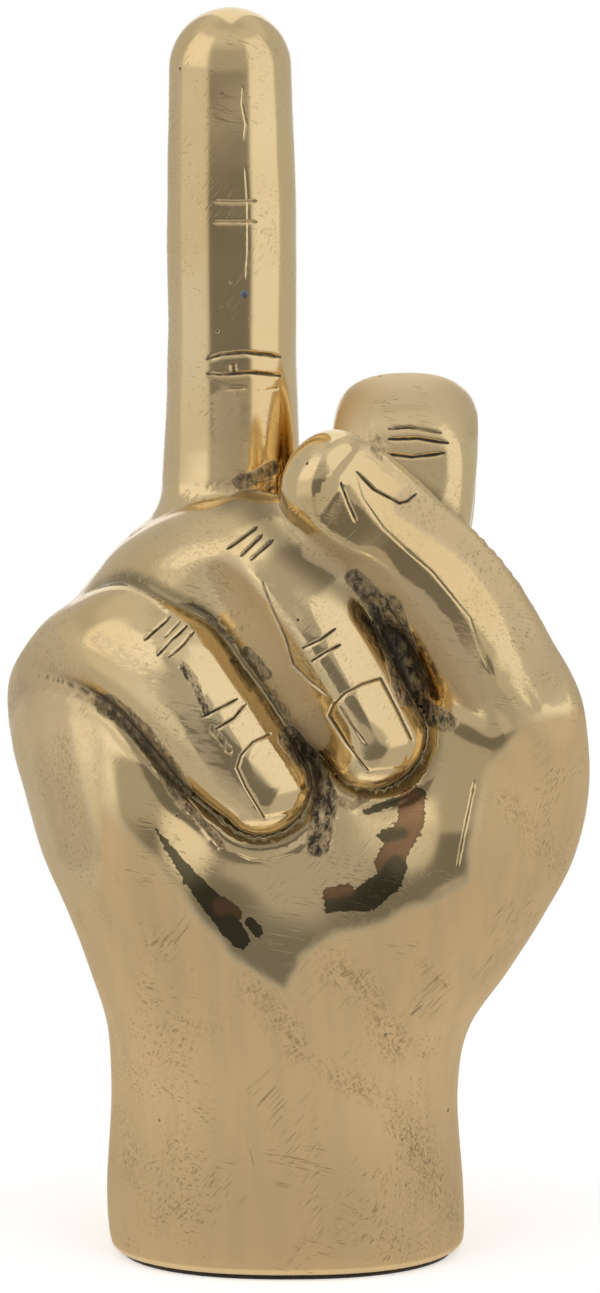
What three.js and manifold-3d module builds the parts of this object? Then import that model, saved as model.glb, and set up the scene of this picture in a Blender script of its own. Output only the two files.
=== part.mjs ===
// A hand with one raised finger, cast in brass as a wrist and palm with five separate digits brazed into it.
// The palm faces -Y, the thumb is on the +X side and the raised finger points up +Z.
// The origin is the centre of the felt pad's underside. All sizes are in millimetres.
// Heights in the tables below are measured from the rim of the wrist, which the felt pad raises a little.
import * as THREE from "three";
import { mergeVertices } from "three/addons/utils/BufferGeometryUtils.js";
import Module from "manifold-3d";

const wasm = await Module();
wasm.setup();

// Clearances
const BRAZE_GAP = 0.3; // all round a digit in its socket, filled by the brazing alloy
const SEAT_GAP = 0.25; // round a plate, pin, rod or screw in its hole

// Main sizes of the hand. The tables below hold shares of them.
const WRIST_WIDTH = 61.6;
const WRIST_DEPTH = 48.4;
const WRIST_HEIGHT = 39;
const PALM_WIDTH = 99;
const PALM_DEPTH = 52;
const PALM_HEIGHT = 81.5; // from the top of the wrist to the crown under the knuckles
const FINGER_LENGTH = 112.8; // of the raised finger, from its root in the palm to its tip
const FINGER_WIDTH = 22.2;
const FINGER_THICKNESS = 20;
const INDEX_WIDTH = 24.8;
const INDEX_THICKNESS = 18.8;
const RING_WIDTH = 22.4;
const RING_THICKNESS = 21.6;
const LITTLE_WIDTH = 20;
const LITTLE_THICKNESS = 20;
const THUMB_WIDTH = 22;
const THUMB_THICKNESS = 22;

// How far the surface lies to each side of the wrist's centre line, in half widths and half depths.
// `up` is the share of the wrist's height, and in the second table of the palm's.
const WRIST_SECTIONS = [
  { up: 0, left: 0.984, right: 0.984, front: 0.992, back: 0.967 },
  { up: 0.036, left: 1.006, right: 1.003, front: 1.021, back: 0.996 },
  { up: 0.256, left: 1.026, right: 1, front: 1.025, back: 1 },
  { up: 0.718, left: 0.994, right: 0.964, front: 0.983, back: 0.959 },
  { up: 1, left: 1.013, right: 1.032, front: 0.992, back: 0.959 },
];
const PALM_SECTIONS = [
  { up: 0.123, left: 0.691, right: 0.776, front: 0.962, back: 0.908 },
  { up: 0.258, left: 0.772, right: 0.913, front: 1.015, back: 0.931 },
  { up: 0.38, left: 0.857, right: 1.01, front: 1.046, back: 0.954 },
  { up: 0.503, left: 0.913, right: 1.042, front: 1.038, back: 0.969 },
  { up: 0.626, left: 0.958, right: 1, front: 0.962, back: 0.977 },
  { up: 0.748, left: 0.909, right: 0.859, front: 0.808, back: 0.962 },
  { up: 0.859, left: 0.768, right: 0.707, front: 0.538, back: 0.923 },
  { up: 0.945, left: 0.636, right: 0.606, front: 0.269, back: 0.827 },
  { up: 1, left: 0.465, right: 0.475, front: 0.038, back: 0.615 },
];
const SECTION_POWER = 2.25; // of the superellipse that each section is: 2 is an ellipse, more is squarer
const LEAST_REACH = 0.6; // to the front, at the crown
const HAND_SIDES = 40;
const HAND_RINGS = 28;

// Forms of the palm's front, placed by shares of its half width and its height: how far each rises or sinks,
// and its reach to each side and up and down
const HOLLOW_DEPTH = 7;
const HEEL_RISE = 5;
const EDGE_RISE = 6;
const PALM_FORMS = {
  hollow: { across: 0.04, up: 0.577, rise: -HOLLOW_DEPTH, wide: 22, tall: 27 },
  thumbHeel: { across: 0.707, up: 0.466, rise: HEEL_RISE, wide: 13, tall: 23 },
  handEdge: { across: -0.626, up: 0.331, rise: EDGE_RISE, wide: 12, tall: 27 },
};

// Cored wrist, closed underneath by a plate that sits in a step of the rim
const WALL = 5;
const CORE_HEIGHT = 58;
const CORE_DOME = 16; // height of the core's rounded top
const CORE_CROWN = 0.25; // size of the flat at the very top, as a share of the core's
const CORE_RINGS = 12;
const PLATE_THICKNESS = 2.5;
const PLATE_LEDGE = 2.5; // width of the step
const FELT_THICKNESS = 1;
const FELT_INSET = 1.2; // from the edge of the rim

// Countersunk screws, each in a boss on the wall of the core
const SCREW_ANGLES = [90, 210, 330]; // degrees from +X
const SCREW_RADIUS = 2;
const SCREW_HEAD_RADIUS = 3.8;
const SCREW_HEAD_HEIGHT = 1.8;
const SCREW_LENGTH = 11;
const SLOT_WIDTH = 1;
const SLOT_DEPTH = 0.9;
const BOSS_RADIUS = 5;
const BOSS_CAP = 4; // metal above the screw's end
const BOSS_SINK = 1.5; // how far a boss sinks into the wall

// A digit's centre line from its root in the palm to its tip, in half widths, half depths and heights of
// the palm. `wide` and `thick` are shares of its own width and thickness. `across` is the direction of its
// width, and `tip` the length of the dome at its end. A digit with a `knuckle` starts in a dome of that
// length. The others start flat, at the foot of their socket. `flats` are dressed along it: the way each
// faces, how far it lies from the centre line as a share of half the thickness, and the stations that it
// reaches from and to. A `web` is metal that fills the valley beside the digit and is cast with it.
const FLAT_FADE = 0.6; // stations over which a flat runs out at each end
const FLAT_RISE = 0.5; // by which it rises there, as a share of half the thickness
const ROOT_SHARE = 0.773; // of the palm's height, where the raised finger starts
const RAISED_FINGER = {
  across: [1, 0, 0],
  width: FINGER_WIDTH,
  thickness: FINGER_THICKNESS,
  sides: 22,
  rings: 14,
  tip: 10.4,
  root: ROOT_SHARE, // from there `up` counts in lengths of the finger
  stations: [
    { at: [-0.202, 0.346], up: 0, wide: 1.009, thick: 1.04 },
    { at: [-0.198, 0.315], up: 0.195, wide: 1.108, thick: 1.36 },
    { at: [-0.192, 0.304], up: 0.355, wide: 1.045, thick: 1.14 },
    { at: [-0.19, 0.292], up: 0.514, wide: 1, thick: 1.02 },
    { at: [-0.19, 0.292], up: 0.709, wide: 1, thick: 1 },
    { at: [-0.196, 0.3], up: 0.908, wide: 0.955, thick: 0.98 },
  ],
};
const INDEX_FINGER = {
  across: [1, 0, 0],
  width: INDEX_WIDTH,
  thickness: INDEX_THICKNESS,
  sides: 20,
  rings: 20,
  tip: 7,
  flats: [{ toward: [0, -0.98, 0.2], reach: 0.86, from: 4, to: 6 }],
  stations: [
    { at: [0.303, 0.308, 0.724], wide: 0.806, thick: 0.957 },
    { at: [0.352, 0.365, 0.908], wide: 0.935, thick: 1.043 },
    { at: [0.408, 0.323, 1.092], wide: 0.984, thick: 1 },
    { at: [0.416, 0.208, 1.225], wide: 1, thick: 0.979 },
    { at: [0.412, -0.038, 1.283], wide: 1, thick: 1 },
    { at: [0.404, -0.292, 1.227], wide: 1.016, thick: 0.979 },
    { at: [0.388, -0.4, 1.08], wide: 0.952, thick: 0.936 },
    { at: [0.347, -0.462, 0.928], wide: 0.806, thick: 0.872 },
    { at: [0.303, -0.485, 0.805], wide: 0.694, thick: 0.787 },
  ],
};
const RING_FINGER = {
  across: [0.86, 0.1, 0.5],
  width: RING_WIDTH,
  thickness: RING_THICKNESS,
  sides: 20,
  rings: 17,
  knuckle: 9.6,
  tip: 7.2,
  flats: [{ toward: [-0.63, -0.67, -0.37], reach: 0.76, from: 2.4, to: 6 }],
  stations: [
    { at: [-0.517, 0.331, 0.852], wide: 0.946, thick: 0.981 },
    { at: [-0.412, 0.054, 0.937], wide: 1, thick: 1.019 },
    { at: [-0.263, -0.285, 0.996], wide: 1.018, thick: 1 },
    { at: [-0.085, -0.585, 0.994], wide: 1, thick: 0.981 },
    { at: [0.065, -0.769, 0.891], wide: 0.929, thick: 0.907 },
    { at: [0.19, -0.838, 0.771], wide: 0.875, thick: 0.833 },
    { at: [0.307, -0.862, 0.653], wide: 0.75, thick: 0.722 },
  ],
};
const RING_WEB = {
  across: [0.86, 0.1, 0.5],
  width: RING_WIDTH,
  thickness: RING_THICKNESS,
  sides: 10,
  rings: 5,
  knuckle: 5,
  tip: 5,
  stations: [
    { at: [-0.283, -0.385, 0.945], wide: 0.625, thick: 0.648 },
    { at: [-0.182, -0.538, 0.871], wide: 0.732, thick: 0.759 },
    { at: [-0.093, -0.615, 0.79], wide: 0.732, thick: 0.759 },
    { at: [-0.016, -0.6, 0.699], wide: 0.554, thick: 0.574 },
  ],
};
const LITTLE_FINGER = {
  across: [0.86, 0.1, 0.5],
  width: LITTLE_WIDTH,
  thickness: LITTLE_THICKNESS,
  sides: 20,
  rings: 17,
  knuckle: 9,
  tip: 6.8,
  stations: [
    { at: [-0.756, 0.208, 0.712], wide: 0.98, thick: 0.98 },
    { at: [-0.667, -0.115, 0.8], wide: 1.03, thick: 1 },
    { at: [-0.554, -0.392, 0.832], wide: 1.05, thick: 1.01 },
    { at: [-0.436, -0.592, 0.802], wide: 1, thick: 0.98 },
    { at: [-0.319, -0.715, 0.719], wide: 0.92, thick: 0.91 },
    { at: [-0.202, -0.777, 0.631], wide: 0.88, thick: 0.84 },
    { at: [-0.081, -0.8, 0.547], wide: 0.77, thick: 0.73 },
  ],
};
const THUMB = {
  across: [0.45, -0.8, 0.4],
  width: THUMB_WIDTH,
  thickness: THUMB_THICKNESS,
  sides: 22,
  rings: 18,
  tip: 7.4,
  flats: [
    { toward: [0.4, -0.85, 0.35], reach: 0.6, from: 1, to: 6 },
    { toward: [0, -1, 0.05], reach: 0.8, from: 1, to: 6 },
    { toward: [-0.53, -0.7, -0.47], reach: 0.9, from: 1, to: 4.6 },
  ],
  stations: [
    { at: [0.687, -0.192, 0.429], wide: 0.964, thick: 1 },
    { at: [0.8, -0.408, 0.65], wide: 1.073, thick: 1.055 },
    { at: [0.703, -0.669, 0.81], wide: 1, thick: 1 },
    { at: [0.57, -0.831, 0.957], wide: 0.945, thick: 0.927 },
    { at: [0.396, -0.885, 1.08], wide: 0.873, thick: 0.818 },
    { at: [0.234, -0.938, 1.168], wide: 0.873, thick: 0.855 },
    { at: [0.141, -0.923, 1.207], wide: 0.855, thick: 0.8 },
  ],
};
const THUMB_WEB = {
  across: [0.45, -0.8, 0.4],
  width: THUMB_WIDTH,
  thickness: THUMB_THICKNESS,
  sides: 10,
  rings: 5,
  knuckle: 4,
  tip: 4,
  stations: [
    { at: [-0.101, -0.462, 1.104], wide: 0.409, thick: 0.409 },
    { at: [0.04, -0.654, 1.075], wide: 0.591, thick: 0.591 },
    { at: [0.162, -0.731, 1.018], wide: 0.591, thick: 0.591 },
    { at: [0.283, -0.731, 0.928], wide: 0.409, thick: 0.409 },
  ],
};
const DOME_RINGS = 5;
const DOME_POWER = 0.8; // 1 is a half ellipse, less is blunter
const BEND_SHARE = 0.8; // how much of a bend's inner radius the digit's thickness may take up

// Core of the raised finger, the rod that locates it in the palm, and the pin that held its core in the mould
const FINGER_WALL = 4.4;
const FINGER_CORE_DROP = 10.4; // from the finger's last station down to the core's
const FINGER_CORE_RINGS = 8;
const ROD_RADIUS = 5;
const ROD_SINK = 12; // below the finger's root, into the palm
const ROD_REACH = 18; // above the finger's root
const ROD_OVERLAP = 4; // of its bore and the core above it
const PIN_RADIUS = 0.75;
const PIN_ASIDE = 2.2; // from the finger's centre line
const PIN_RISE = 64.6; // above the finger's root
const PIN_SINK = 0.4; // of its front end below the finger's surface
const PIN_REACH = 2.6; // past the wall, into the core

const ROUND_SIDES = 20;
const PAST = 1; // how far a cutter reaches past the face that it opens

function solidOf(geometry) {
  const bare = geometry.clone();
  bare.deleteAttribute("normal");
  bare.deleteAttribute("uv");
  const merged = mergeVertices(bare, 1e-4);
  const mesh = new wasm.Mesh({
    numProp: 3,
    vertProperties: new Float32Array(merged.attributes.position.array),
    triVerts: new Uint32Array(merged.index.array),
  });
  return new wasm.Manifold(mesh);
}

function geometryOf(solid) {
  const { numProp, numVert, vertProperties, triVerts } = solid.getMesh();
  const positions = new Float32Array(numVert * 3);
  for (let i = 0; i < numVert; i++) {
    positions.set(vertProperties.subarray(i * numProp, i * numProp + 3), i * 3);
  }
  const geometry = new THREE.BufferGeometry();
  geometry.setAttribute("position", new THREE.BufferAttribute(positions, 3));
  geometry.setIndex(new THREE.BufferAttribute(new Uint32Array(triVerts), 1));
  geometry.computeVertexNormals();
  return geometry;
}

// A closed skin over rings of points, the lowest first, each running the same way round and closed by a fan.
function skin(rings) {
  const sides = rings[0].length;
  const middle = (ring) => ring.reduce((sum, p) => sum.add(p), new THREE.Vector3()).divideScalar(sides);
  const top = (rings.length - 1) * sides;
  const bottomCentre = rings.length * sides;
  const index = [];
  for (let s = 0; s < sides; s++) {
    const next = (s + 1) % sides;
    for (let r = 0; r < top; r += sides) {
      index.push(r + s, r + next, r + sides + next);
      index.push(r + s, r + sides + next, r + sides + s);
    }
    index.push(next, s, bottomCentre);
    index.push(top + s, top + next, bottomCentre + 1);
  }
  const geometry = new THREE.BufferGeometry();
  geometry.setFromPoints([...rings.flat(), middle(rings[0]), middle(rings.at(-1))]);
  geometry.setIndex(index);
  return solidOf(geometry);
}

// A round piece from its profile of [radius, height] points, which starts and ends on the axis.
function turned(profile) {
  const points = profile.map(([radius, height]) => new THREE.Vector2(radius, height));
  return solidOf(new THREE.LatheGeometry(points, ROUND_SIDES).rotateX(Math.PI / 2));
}

function rod(radius, from, to) {
  return turned([[0, from], [radius, from], [radius, to], [0, to]]);
}

// A number that runs smoothly through a list of values.
function eased(values, share) {
  const curve = new THREE.SplineCurve(values.map((value, i) => new THREE.Vector2(i, value)));
  return curve.getPoint(share).y;
}

// Wrist and palm
const handRails = {};
for (const side of ["left", "right", "front", "back"]) {
  const isAcross = side === "left" || side === "right";
  const [wristHalf, palmHalf] = isAcross
    ? [WRIST_WIDTH / 2, PALM_WIDTH / 2]
    : [WRIST_DEPTH / 2, PALM_DEPTH / 2];
  const points = [
    ...WRIST_SECTIONS.map((row) => new THREE.Vector3(row[side] * wristHalf, 0, row.up * WRIST_HEIGHT)),
    ...PALM_SECTIONS.map((row) => new THREE.Vector3(row[side] * palmHalf, 0, palmHeight(row.up))),
  ];
  handRails[side] = new THREE.CatmullRomCurve3(points, false, "centripetal");
}

// The height at a share of the palm's own height.
function palmHeight(share) {
  return WRIST_HEIGHT + share * PALM_HEIGHT;
}

// How far the forms of the palm raise its front at a place.
function palmRise(x, height) {
  let sum = 0;
  for (const { across, up, rise, wide, tall } of Object.values(PALM_FORMS)) {
    const aside = (x - (across * PALM_WIDTH) / 2) / wide;
    const above = (height - palmHeight(up)) / tall;
    sum += rise * Math.exp(-(aside ** 2) - above ** 2);
  }
  return sum;
}

// One section of the hand, drawn in all round by `inset`, at a share of the way up the rails.
function handRing(share, inset = 0, height = null) {
  const { left, right, front, back } = Object.fromEntries(
    Object.entries(handRails).map(([side, rail]) => [side, rail.getPoint(share)]),
  );
  const centre = (right.x - left.x) / 2;
  const reachAcross = (right.x + left.x) / 2 - inset;
  const ring = [];
  for (let s = 0; s < HAND_SIDES; s++) {
    const angle = (s / HAND_SIDES) * 2 * Math.PI;
    const bulge = (value) => Math.sign(value) * Math.abs(value) ** (2 / SECTION_POWER);
    const x = centre + bulge(Math.cos(angle)) * reachAcross;
    const outward = bulge(Math.sin(angle));
    const reach = outward < 0 ? front.x + palmRise(x, left.z) : back.x;
    const y = outward * (Math.max(reach, LEAST_REACH) - inset);
    ring.push(new THREE.Vector3(x, y, height ?? left.z));
  }
  return ring;
}

function handShape() {
  const rings = [];
  for (let r = 0; r <= HAND_RINGS; r++) rings.push(handRing(r / HAND_RINGS));
  return skin(rings);
}

// A flat slab with the outline of the wrist's rim, drawn in by `inset`.
function rimSlab(inset, from, to) {
  return skin([handRing(0, inset, from), handRing(0, inset, to)]);
}

// The share of the rails at which they reach a height.
function shareAt(height) {
  let [low, high] = [0, 1];
  for (let i = 0; i < 30; i++) {
    const share = (low + high) / 2;
    if (handRails.left.getPoint(share).z < height) low = share;
    else high = share;
  }
  return low;
}

// The space inside the wrist: straight-walled, with a rounded top.
function wristCore() {
  const rings = [handRing(0, WALL, -PAST)];
  for (let i = 0; i <= CORE_RINGS; i++) {
    const height = (CORE_HEIGHT * i) / CORE_RINGS;
    const climb = Math.max(0, (height - (CORE_HEIGHT - CORE_DOME)) / CORE_DOME);
    const shrink = Math.max(CORE_CROWN, Math.sqrt(1 - climb ** 2));
    const ring = handRing(shareAt(height), WALL, height);
    rings.push(ring.map((p) => new THREE.Vector3(p.x * shrink, p.y * shrink, p.z)));
  }
  return skin(rings);
}

// Where a digit's station lies.
function placeOf({ at, up }, root) {
  const [x, y] = [(at[0] * PALM_WIDTH) / 2, (at[1] * PALM_DEPTH) / 2];
  if (up === undefined) return new THREE.Vector3(x, y, palmHeight(at[2]));
  return new THREE.Vector3(x, y, palmHeight(root) + up * FINGER_LENGTH);
}

// A digit with its stations as places and real sizes.
function sized(shape) {
  const stations = shape.stations.map((station) => ({
    at: placeOf(station, shape.root),
    wide: (station.wide * shape.width) / 2,
    thick: (station.thick * shape.thickness) / 2,
  }));
  return { ...shape, stations };
}

// 0 below `low`, 1 above `high`, and even between them.
function ramp(value, low, high) {
  return Math.min(1, Math.max(0, (value - low) / (high - low)));
}

// A sized digit: oval rings square to its centre line, and a domed tip. `grow` makes it larger all round.
function digit({ across, sides, rings, knuckle, tip, stations, flats = [] }, grow = 0) {
  const line = new THREE.CatmullRomCurve3(stations.map((station) => station.at), false, "centripetal");
  const widest = new THREE.Vector3(...across).normalize();
  const wides = stations.map((station) => station.wide + grow);
  const thicks = stations.map((station) => station.thick + grow);
  const made = [];
  const addRing = (share, centre, along, wide, thick, bend) => {
    const place = share * (stations.length - 1);
    const cuts = flats.map(({ toward, reach, from, to }) => {
      const started = ramp(place, from - FLAT_FADE, from + FLAT_FADE);
      const ended = ramp(place, to - FLAT_FADE, to + FLAT_FADE);
      const rise = FLAT_RISE * (1 - started + ended);
      return { way: new THREE.Vector3(...toward).normalize(), limit: (reach + rise) * (thick - grow) + grow };
    });
    const u = widest.clone().addScaledVector(along, -widest.dot(along)).normalize();
    const v = new THREE.Vector3().crossVectors(along, u);
    const ring = [];
    for (let s = 0; s < sides; s++) {
      const angle = (s / sides) * 2 * Math.PI;
      const offset = u.clone().multiplyScalar(Math.cos(angle) * wide);
      offset.addScaledVector(v, Math.sin(angle) * thick);
      const excess = offset.dot(bend) - BEND_SHARE - grow * bend.length();
      if (excess > 0) offset.addScaledVector(bend, -excess / bend.lengthSq());
      for (const { way, limit } of cuts) {
        offset.addScaledVector(way, -Math.max(0, offset.dot(way) - limit));
      }
      ring.push(offset.add(centre));
    }
    made.push(ring);
  };
  const addDome = (share, length, outward) => {
    const along = line.getTangent(share);
    const end = line.getPoint(share);
    const [wide, thick] = share === 0 ? [wides[0], thicks[0]] : [wides.at(-1), thicks.at(-1)];
    for (let r = 1; r < DOME_RINGS; r++) {
      const angle = ((outward > 0 ? r : DOME_RINGS - r) / DOME_RINGS) * (Math.PI / 2);
      const centre = end.clone().addScaledVector(along, outward * Math.sin(angle) * (length + grow));
      const shrink = Math.cos(angle) ** DOME_POWER;
      addRing(share, centre, along, wide * shrink, thick * shrink, new THREE.Vector3());
    }
  };
  if (knuckle) addDome(0, knuckle, -1);
  const step = 1 / rings;
  for (let r = 0; r <= rings; r++) {
    const share = r * step;
    const [before, after] = [Math.max(0, share - step / 2), Math.min(1, share + step / 2)];
    const bend = line.getTangent(after).sub(line.getTangent(before));
    bend.divideScalar(line.getPoint(after).distanceTo(line.getPoint(before)));
    const along = line.getTangent(share);
    const centre = line.getPoint(share);
    if (r === 0 && !knuckle) centre.addScaledVector(along, -grow);
    addRing(share, centre, along, eased(wides, share), eased(thicks, share), bend);
  }
  addDome(1, tip, 1);
  return skin(made);
}

// The rod stands in bores of the palm and of the finger's root. `past` opens the bore at its foot.
const raisedFinger = sized(RAISED_FINGER);
const { x: rodX, y: rodY, z: fingerRoot } = raisedFinger.stations[0].at;
const rodTop = fingerRoot + ROD_REACH;

function fingerRod(grow = 0, past = 0) {
  return rod(ROD_RADIUS + grow, fingerRoot - ROD_SINK - past, rodTop + grow).translate([rodX, rodY, 0]);
}

// The space inside the raised finger: the rod's bore, and above it a core that follows the finger's own form.
function fingerCore() {
  const [root, , ...upper] = raisedFinger.stations;
  const end = upper.pop();
  const stations = [
    { ...root, at: new THREE.Vector3(rodX, rodY, rodTop - ROD_OVERLAP) },
    ...upper,
    { ...end, at: new THREE.Vector3(end.at.x, end.at.y, end.at.z - FINGER_CORE_DROP) },
  ];
  const core = digit({ ...raisedFinger, rings: FINGER_CORE_RINGS, stations }, -FINGER_WALL);
  return core.add(fingerRod(SEAT_GAP, PAST));
}

// The pin lies level, from just inside the finger's front through its wall.
function corePin(grow = 0) {
  const height = fingerRoot + PIN_RISE;
  const { at, thick } = raisedFinger.stations.find((station) => station.at.z > height);
  const past = grow > 0 ? PAST : 0;
  const upright = rod(PIN_RADIUS + grow, -past, FINGER_WALL + PIN_REACH + grow);
  return upright.rotate([-90, 0, 0]).translate([at.x + PIN_ASIDE, at.y - thick + PIN_SINK, height]);
}

const screwPlaces = SCREW_ANGLES.map((degrees) => {
  const angle = (degrees * Math.PI) / 180;
  const [aside, forward] = [handRails.left, handRails.front].map((rail) => rail.getPoint(0).x);
  const inward = WALL + BOSS_RADIUS - BOSS_SINK;
  return [Math.cos(angle) * (aside - inward), Math.sin(angle) * (forward - inward), 0];
});

function screw(grow = 0) {
  const [head, shank] = [SCREW_HEAD_RADIUS + grow, SCREW_RADIUS + grow];
  const past = grow > 0 ? PAST : 0;
  return turned([
    [0, -past],
    [head, -past],
    [head, grow],
    [shank, SCREW_HEAD_HEIGHT + grow],
    [shank, SCREW_LENGTH + grow],
    [0, SCREW_LENGTH + grow],
  ]);
}

function slottedScrew() {
  const slot = new THREE.BoxGeometry(2 * (SCREW_HEAD_RADIUS + PAST), SLOT_WIDTH, 2 * SLOT_DEPTH);
  return screw().subtract(solidOf(slot));
}

// The castings. Each digit is cut back by the ones before it, and all of them cut their sockets in the palm.
const digits = {
  raised_finger: [raisedFinger],
  ring_finger: [sized(RING_FINGER), sized(RING_WEB)],
  index_finger: [sized(INDEX_FINGER)],
  little_finger: [sized(LITTLE_FINGER)],
  thumb: [sized(THUMB), sized(THUMB_WEB)],
};
const castings = {};
let sockets = null;
for (const [name, shapes] of Object.entries(digits)) {
  const [whole, socket] = [0, BRAZE_GAP].map((grow) =>
    shapes.map((shape) => digit(shape, grow)).reduce((sum, part) => sum.add(part)),
  );
  castings[name] = sockets ? whole.subtract(sockets) : whole;
  sockets = sockets ? sockets.add(socket) : socket;
}
castings.raised_finger = castings.raised_finger.subtract(fingerCore()).subtract(corePin(SEAT_GAP));

const outside = handShape();
let hand = outside.subtract(wristCore());
for (const place of screwPlaces) {
  const boss = rod(BOSS_RADIUS, PLATE_THICKNESS, SCREW_LENGTH + BOSS_CAP).translate(place);
  hand = hand.add(boss.intersect(outside));
}
hand = hand.subtract(rimSlab(WALL - PLATE_LEDGE, -PAST, PLATE_THICKNESS));
let plate = rimSlab(WALL - PLATE_LEDGE + SEAT_GAP, 0, PLATE_THICKNESS);
for (const place of screwPlaces) {
  hand = hand.subtract(screw(SEAT_GAP).translate(place));
  plate = plate.subtract(screw(SEAT_GAP).translate(place));
}
castings.hand_casting = hand.subtract(sockets).subtract(fingerRod(SEAT_GAP));

const materials = {
  brass: { color: 0xc9a25c, roughness: 0.2, metalness: 1 },
  plainBrass: { color: 0xb59252, roughness: 0.45, metalness: 1 },
  steel: { color: 0x7d858c, roughness: 0.35, metalness: 1 },
  felt: { color: 0x2b2622, roughness: 0.95, metalness: 0 },
};

const object = new THREE.Group();
const metal = new THREE.Group();
metal.position.z = FELT_THICKNESS;
object.add(metal);

function addPiece(name, solid, material) {
  const mesh = new THREE.Mesh(geometryOf(solid), new THREE.MeshStandardMaterial(materials[material]));
  mesh.name = name;
  metal.add(mesh);
  return mesh;
}

for (const [name, solid] of Object.entries(castings)) addPiece(name, solid, "brass");
addPiece("finger_rod", fingerRod(), "plainBrass");
addPiece("core_pin", corePin(), "steel");
addPiece("base_plate", plate, "plainBrass");
screwPlaces.forEach((place, i) => {
  addPiece(`base_screw_${i + 1}`, slottedScrew(), "steel").position.set(...place);
});
addPiece("felt_pad", rimSlab(FELT_INSET, -FELT_THICKNESS, 0), "felt");

export default object;
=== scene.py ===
# The looks of a cast brass hand with one raised finger.
# The hand is sculpted as one field of distances, in millimetres above the rim of the wrist, and its skin is then
# parted into the castings of the model, so that every piece meets its neighbours without a step.
import math
from functools import reduce

import bpy
import numpy as np
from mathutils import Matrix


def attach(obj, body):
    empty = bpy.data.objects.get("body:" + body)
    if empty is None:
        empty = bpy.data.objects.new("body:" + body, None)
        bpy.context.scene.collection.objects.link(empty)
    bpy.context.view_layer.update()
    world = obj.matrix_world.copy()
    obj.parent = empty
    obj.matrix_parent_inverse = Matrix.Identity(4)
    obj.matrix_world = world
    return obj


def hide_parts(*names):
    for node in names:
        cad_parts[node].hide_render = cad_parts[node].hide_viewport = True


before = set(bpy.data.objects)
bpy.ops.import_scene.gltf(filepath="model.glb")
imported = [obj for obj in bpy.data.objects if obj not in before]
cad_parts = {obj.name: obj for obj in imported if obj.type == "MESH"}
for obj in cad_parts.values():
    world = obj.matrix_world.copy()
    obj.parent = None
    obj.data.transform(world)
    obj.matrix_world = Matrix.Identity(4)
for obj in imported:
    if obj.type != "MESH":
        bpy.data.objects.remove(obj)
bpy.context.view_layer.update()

MM = 0.001
FELT = 1.0  # thickness of the felt pad, in millimetres

# Camera of the photograph: its distance, its tilt, and the point that it looks at, in millimetres above the rim
VIEW_TILT = math.radians(9)
VIEW_DISTANCE = 1000.0
VIEW_CENTRE = np.array([2.3, 0.0, 105.4])
FOCAL_PIXELS = 5797.0
PICTURE = (600, 1293)

view_forward = np.array([0, math.cos(VIEW_TILT), -math.sin(VIEW_TILT)])
view_up = np.array([0, math.sin(VIEW_TILT), math.cos(VIEW_TILT)])
view_from = VIEW_CENTRE - view_forward * VIEW_DISTANCE


def picture(points):
    """Where points fall in the photograph, in its pixels."""
    ray = points - view_from
    depth = ray @ view_forward
    across = PICTURE[0] / 2 + FOCAL_PIXELS * ray[:, 0] / depth
    down = PICTURE[1] / 2 - FOCAL_PIXELS * (ray @ view_up) / depth
    return np.stack([across, down], 1)


# Noise and blending

def lattice(cell, seed):
    """A fixed number from -1 to 1 for each cell of a grid."""
    mixed = cell[:, 0] * 374761393 + cell[:, 1] * 668265263 + cell[:, 2] * 1274126177 + seed * 974634777
    mixed &= 0xFFFFFFFF
    mixed = ((mixed ^ (mixed >> 13)) * 1103515245) & 0xFFFFFFFF
    mixed ^= mixed >> 16
    return mixed / 0xFFFFFFFF * 2 - 1


def noise(points, size, seed):
    """Smooth noise from -1 to 1, with features about `size` across."""
    place = points / size
    cell = np.floor(place).astype(np.int64)
    part = place - cell
    part = part * part * (3 - 2 * part)
    total = np.zeros(len(points))
    for corner in np.ndindex(2, 2, 2):
        total += np.prod(np.where(corner, part, 1 - part), axis=1) * lattice(cell + np.array(corner), seed)
    return total


def ramp(value, low, high):
    """0 below `low`, 1 above `high`, and smooth between them."""
    share = np.clip((value - low) / (high - low), 0, 1)
    return share * share * (3 - 2 * share)


def join(a, b, k):
    """The union of two fields, with a fillet of about `k`."""
    share = np.clip(0.5 + 0.5 * (b - a) / k, 0, 1)
    return b + (a - b) * share - k * share * (1 - share)


def carve(a, b, k):
    """The field `a` with `b` cut out of it, its edge rounded by about `k`."""
    return -join(-a, b, k)


def unit(rows):
    return rows / np.linalg.norm(rows, axis=-1, keepdims=True)


# Forms

def curve_through(points, steps):
    """Points along a centripetal curve through the given points, `steps` to a span, and their places in the list."""
    held = np.vstack([2 * points[0] - points[1], points, 2 * points[-1] - points[-2]])
    gaps = np.linalg.norm(np.diff(held, axis=0), axis=1) ** 0.5
    made = []
    for i in range(len(points) - 1):
        p0, p1, p2, p3 = held[i:i + 4]
        d0, d1, d2 = gaps[i:i + 3]
        out_of = ((p1 - p0) / d0 - (p2 - p0) / (d0 + d1) + (p2 - p1) / d1) * d1
        into = ((p2 - p1) / d1 - (p3 - p1) / (d1 + d2) + (p3 - p2) / d2) * d1
        for t in np.arange(steps) / steps:
            bend = (2 * p1 - 2 * p2 + out_of + into) * t ** 3 + (3 * p2 - 3 * p1 - 2 * out_of - into) * t ** 2
            made.append(p1 + out_of * t + bend)
    return np.array(made + [points[-1]]), np.arange(len(made) + 1) / steps


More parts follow.
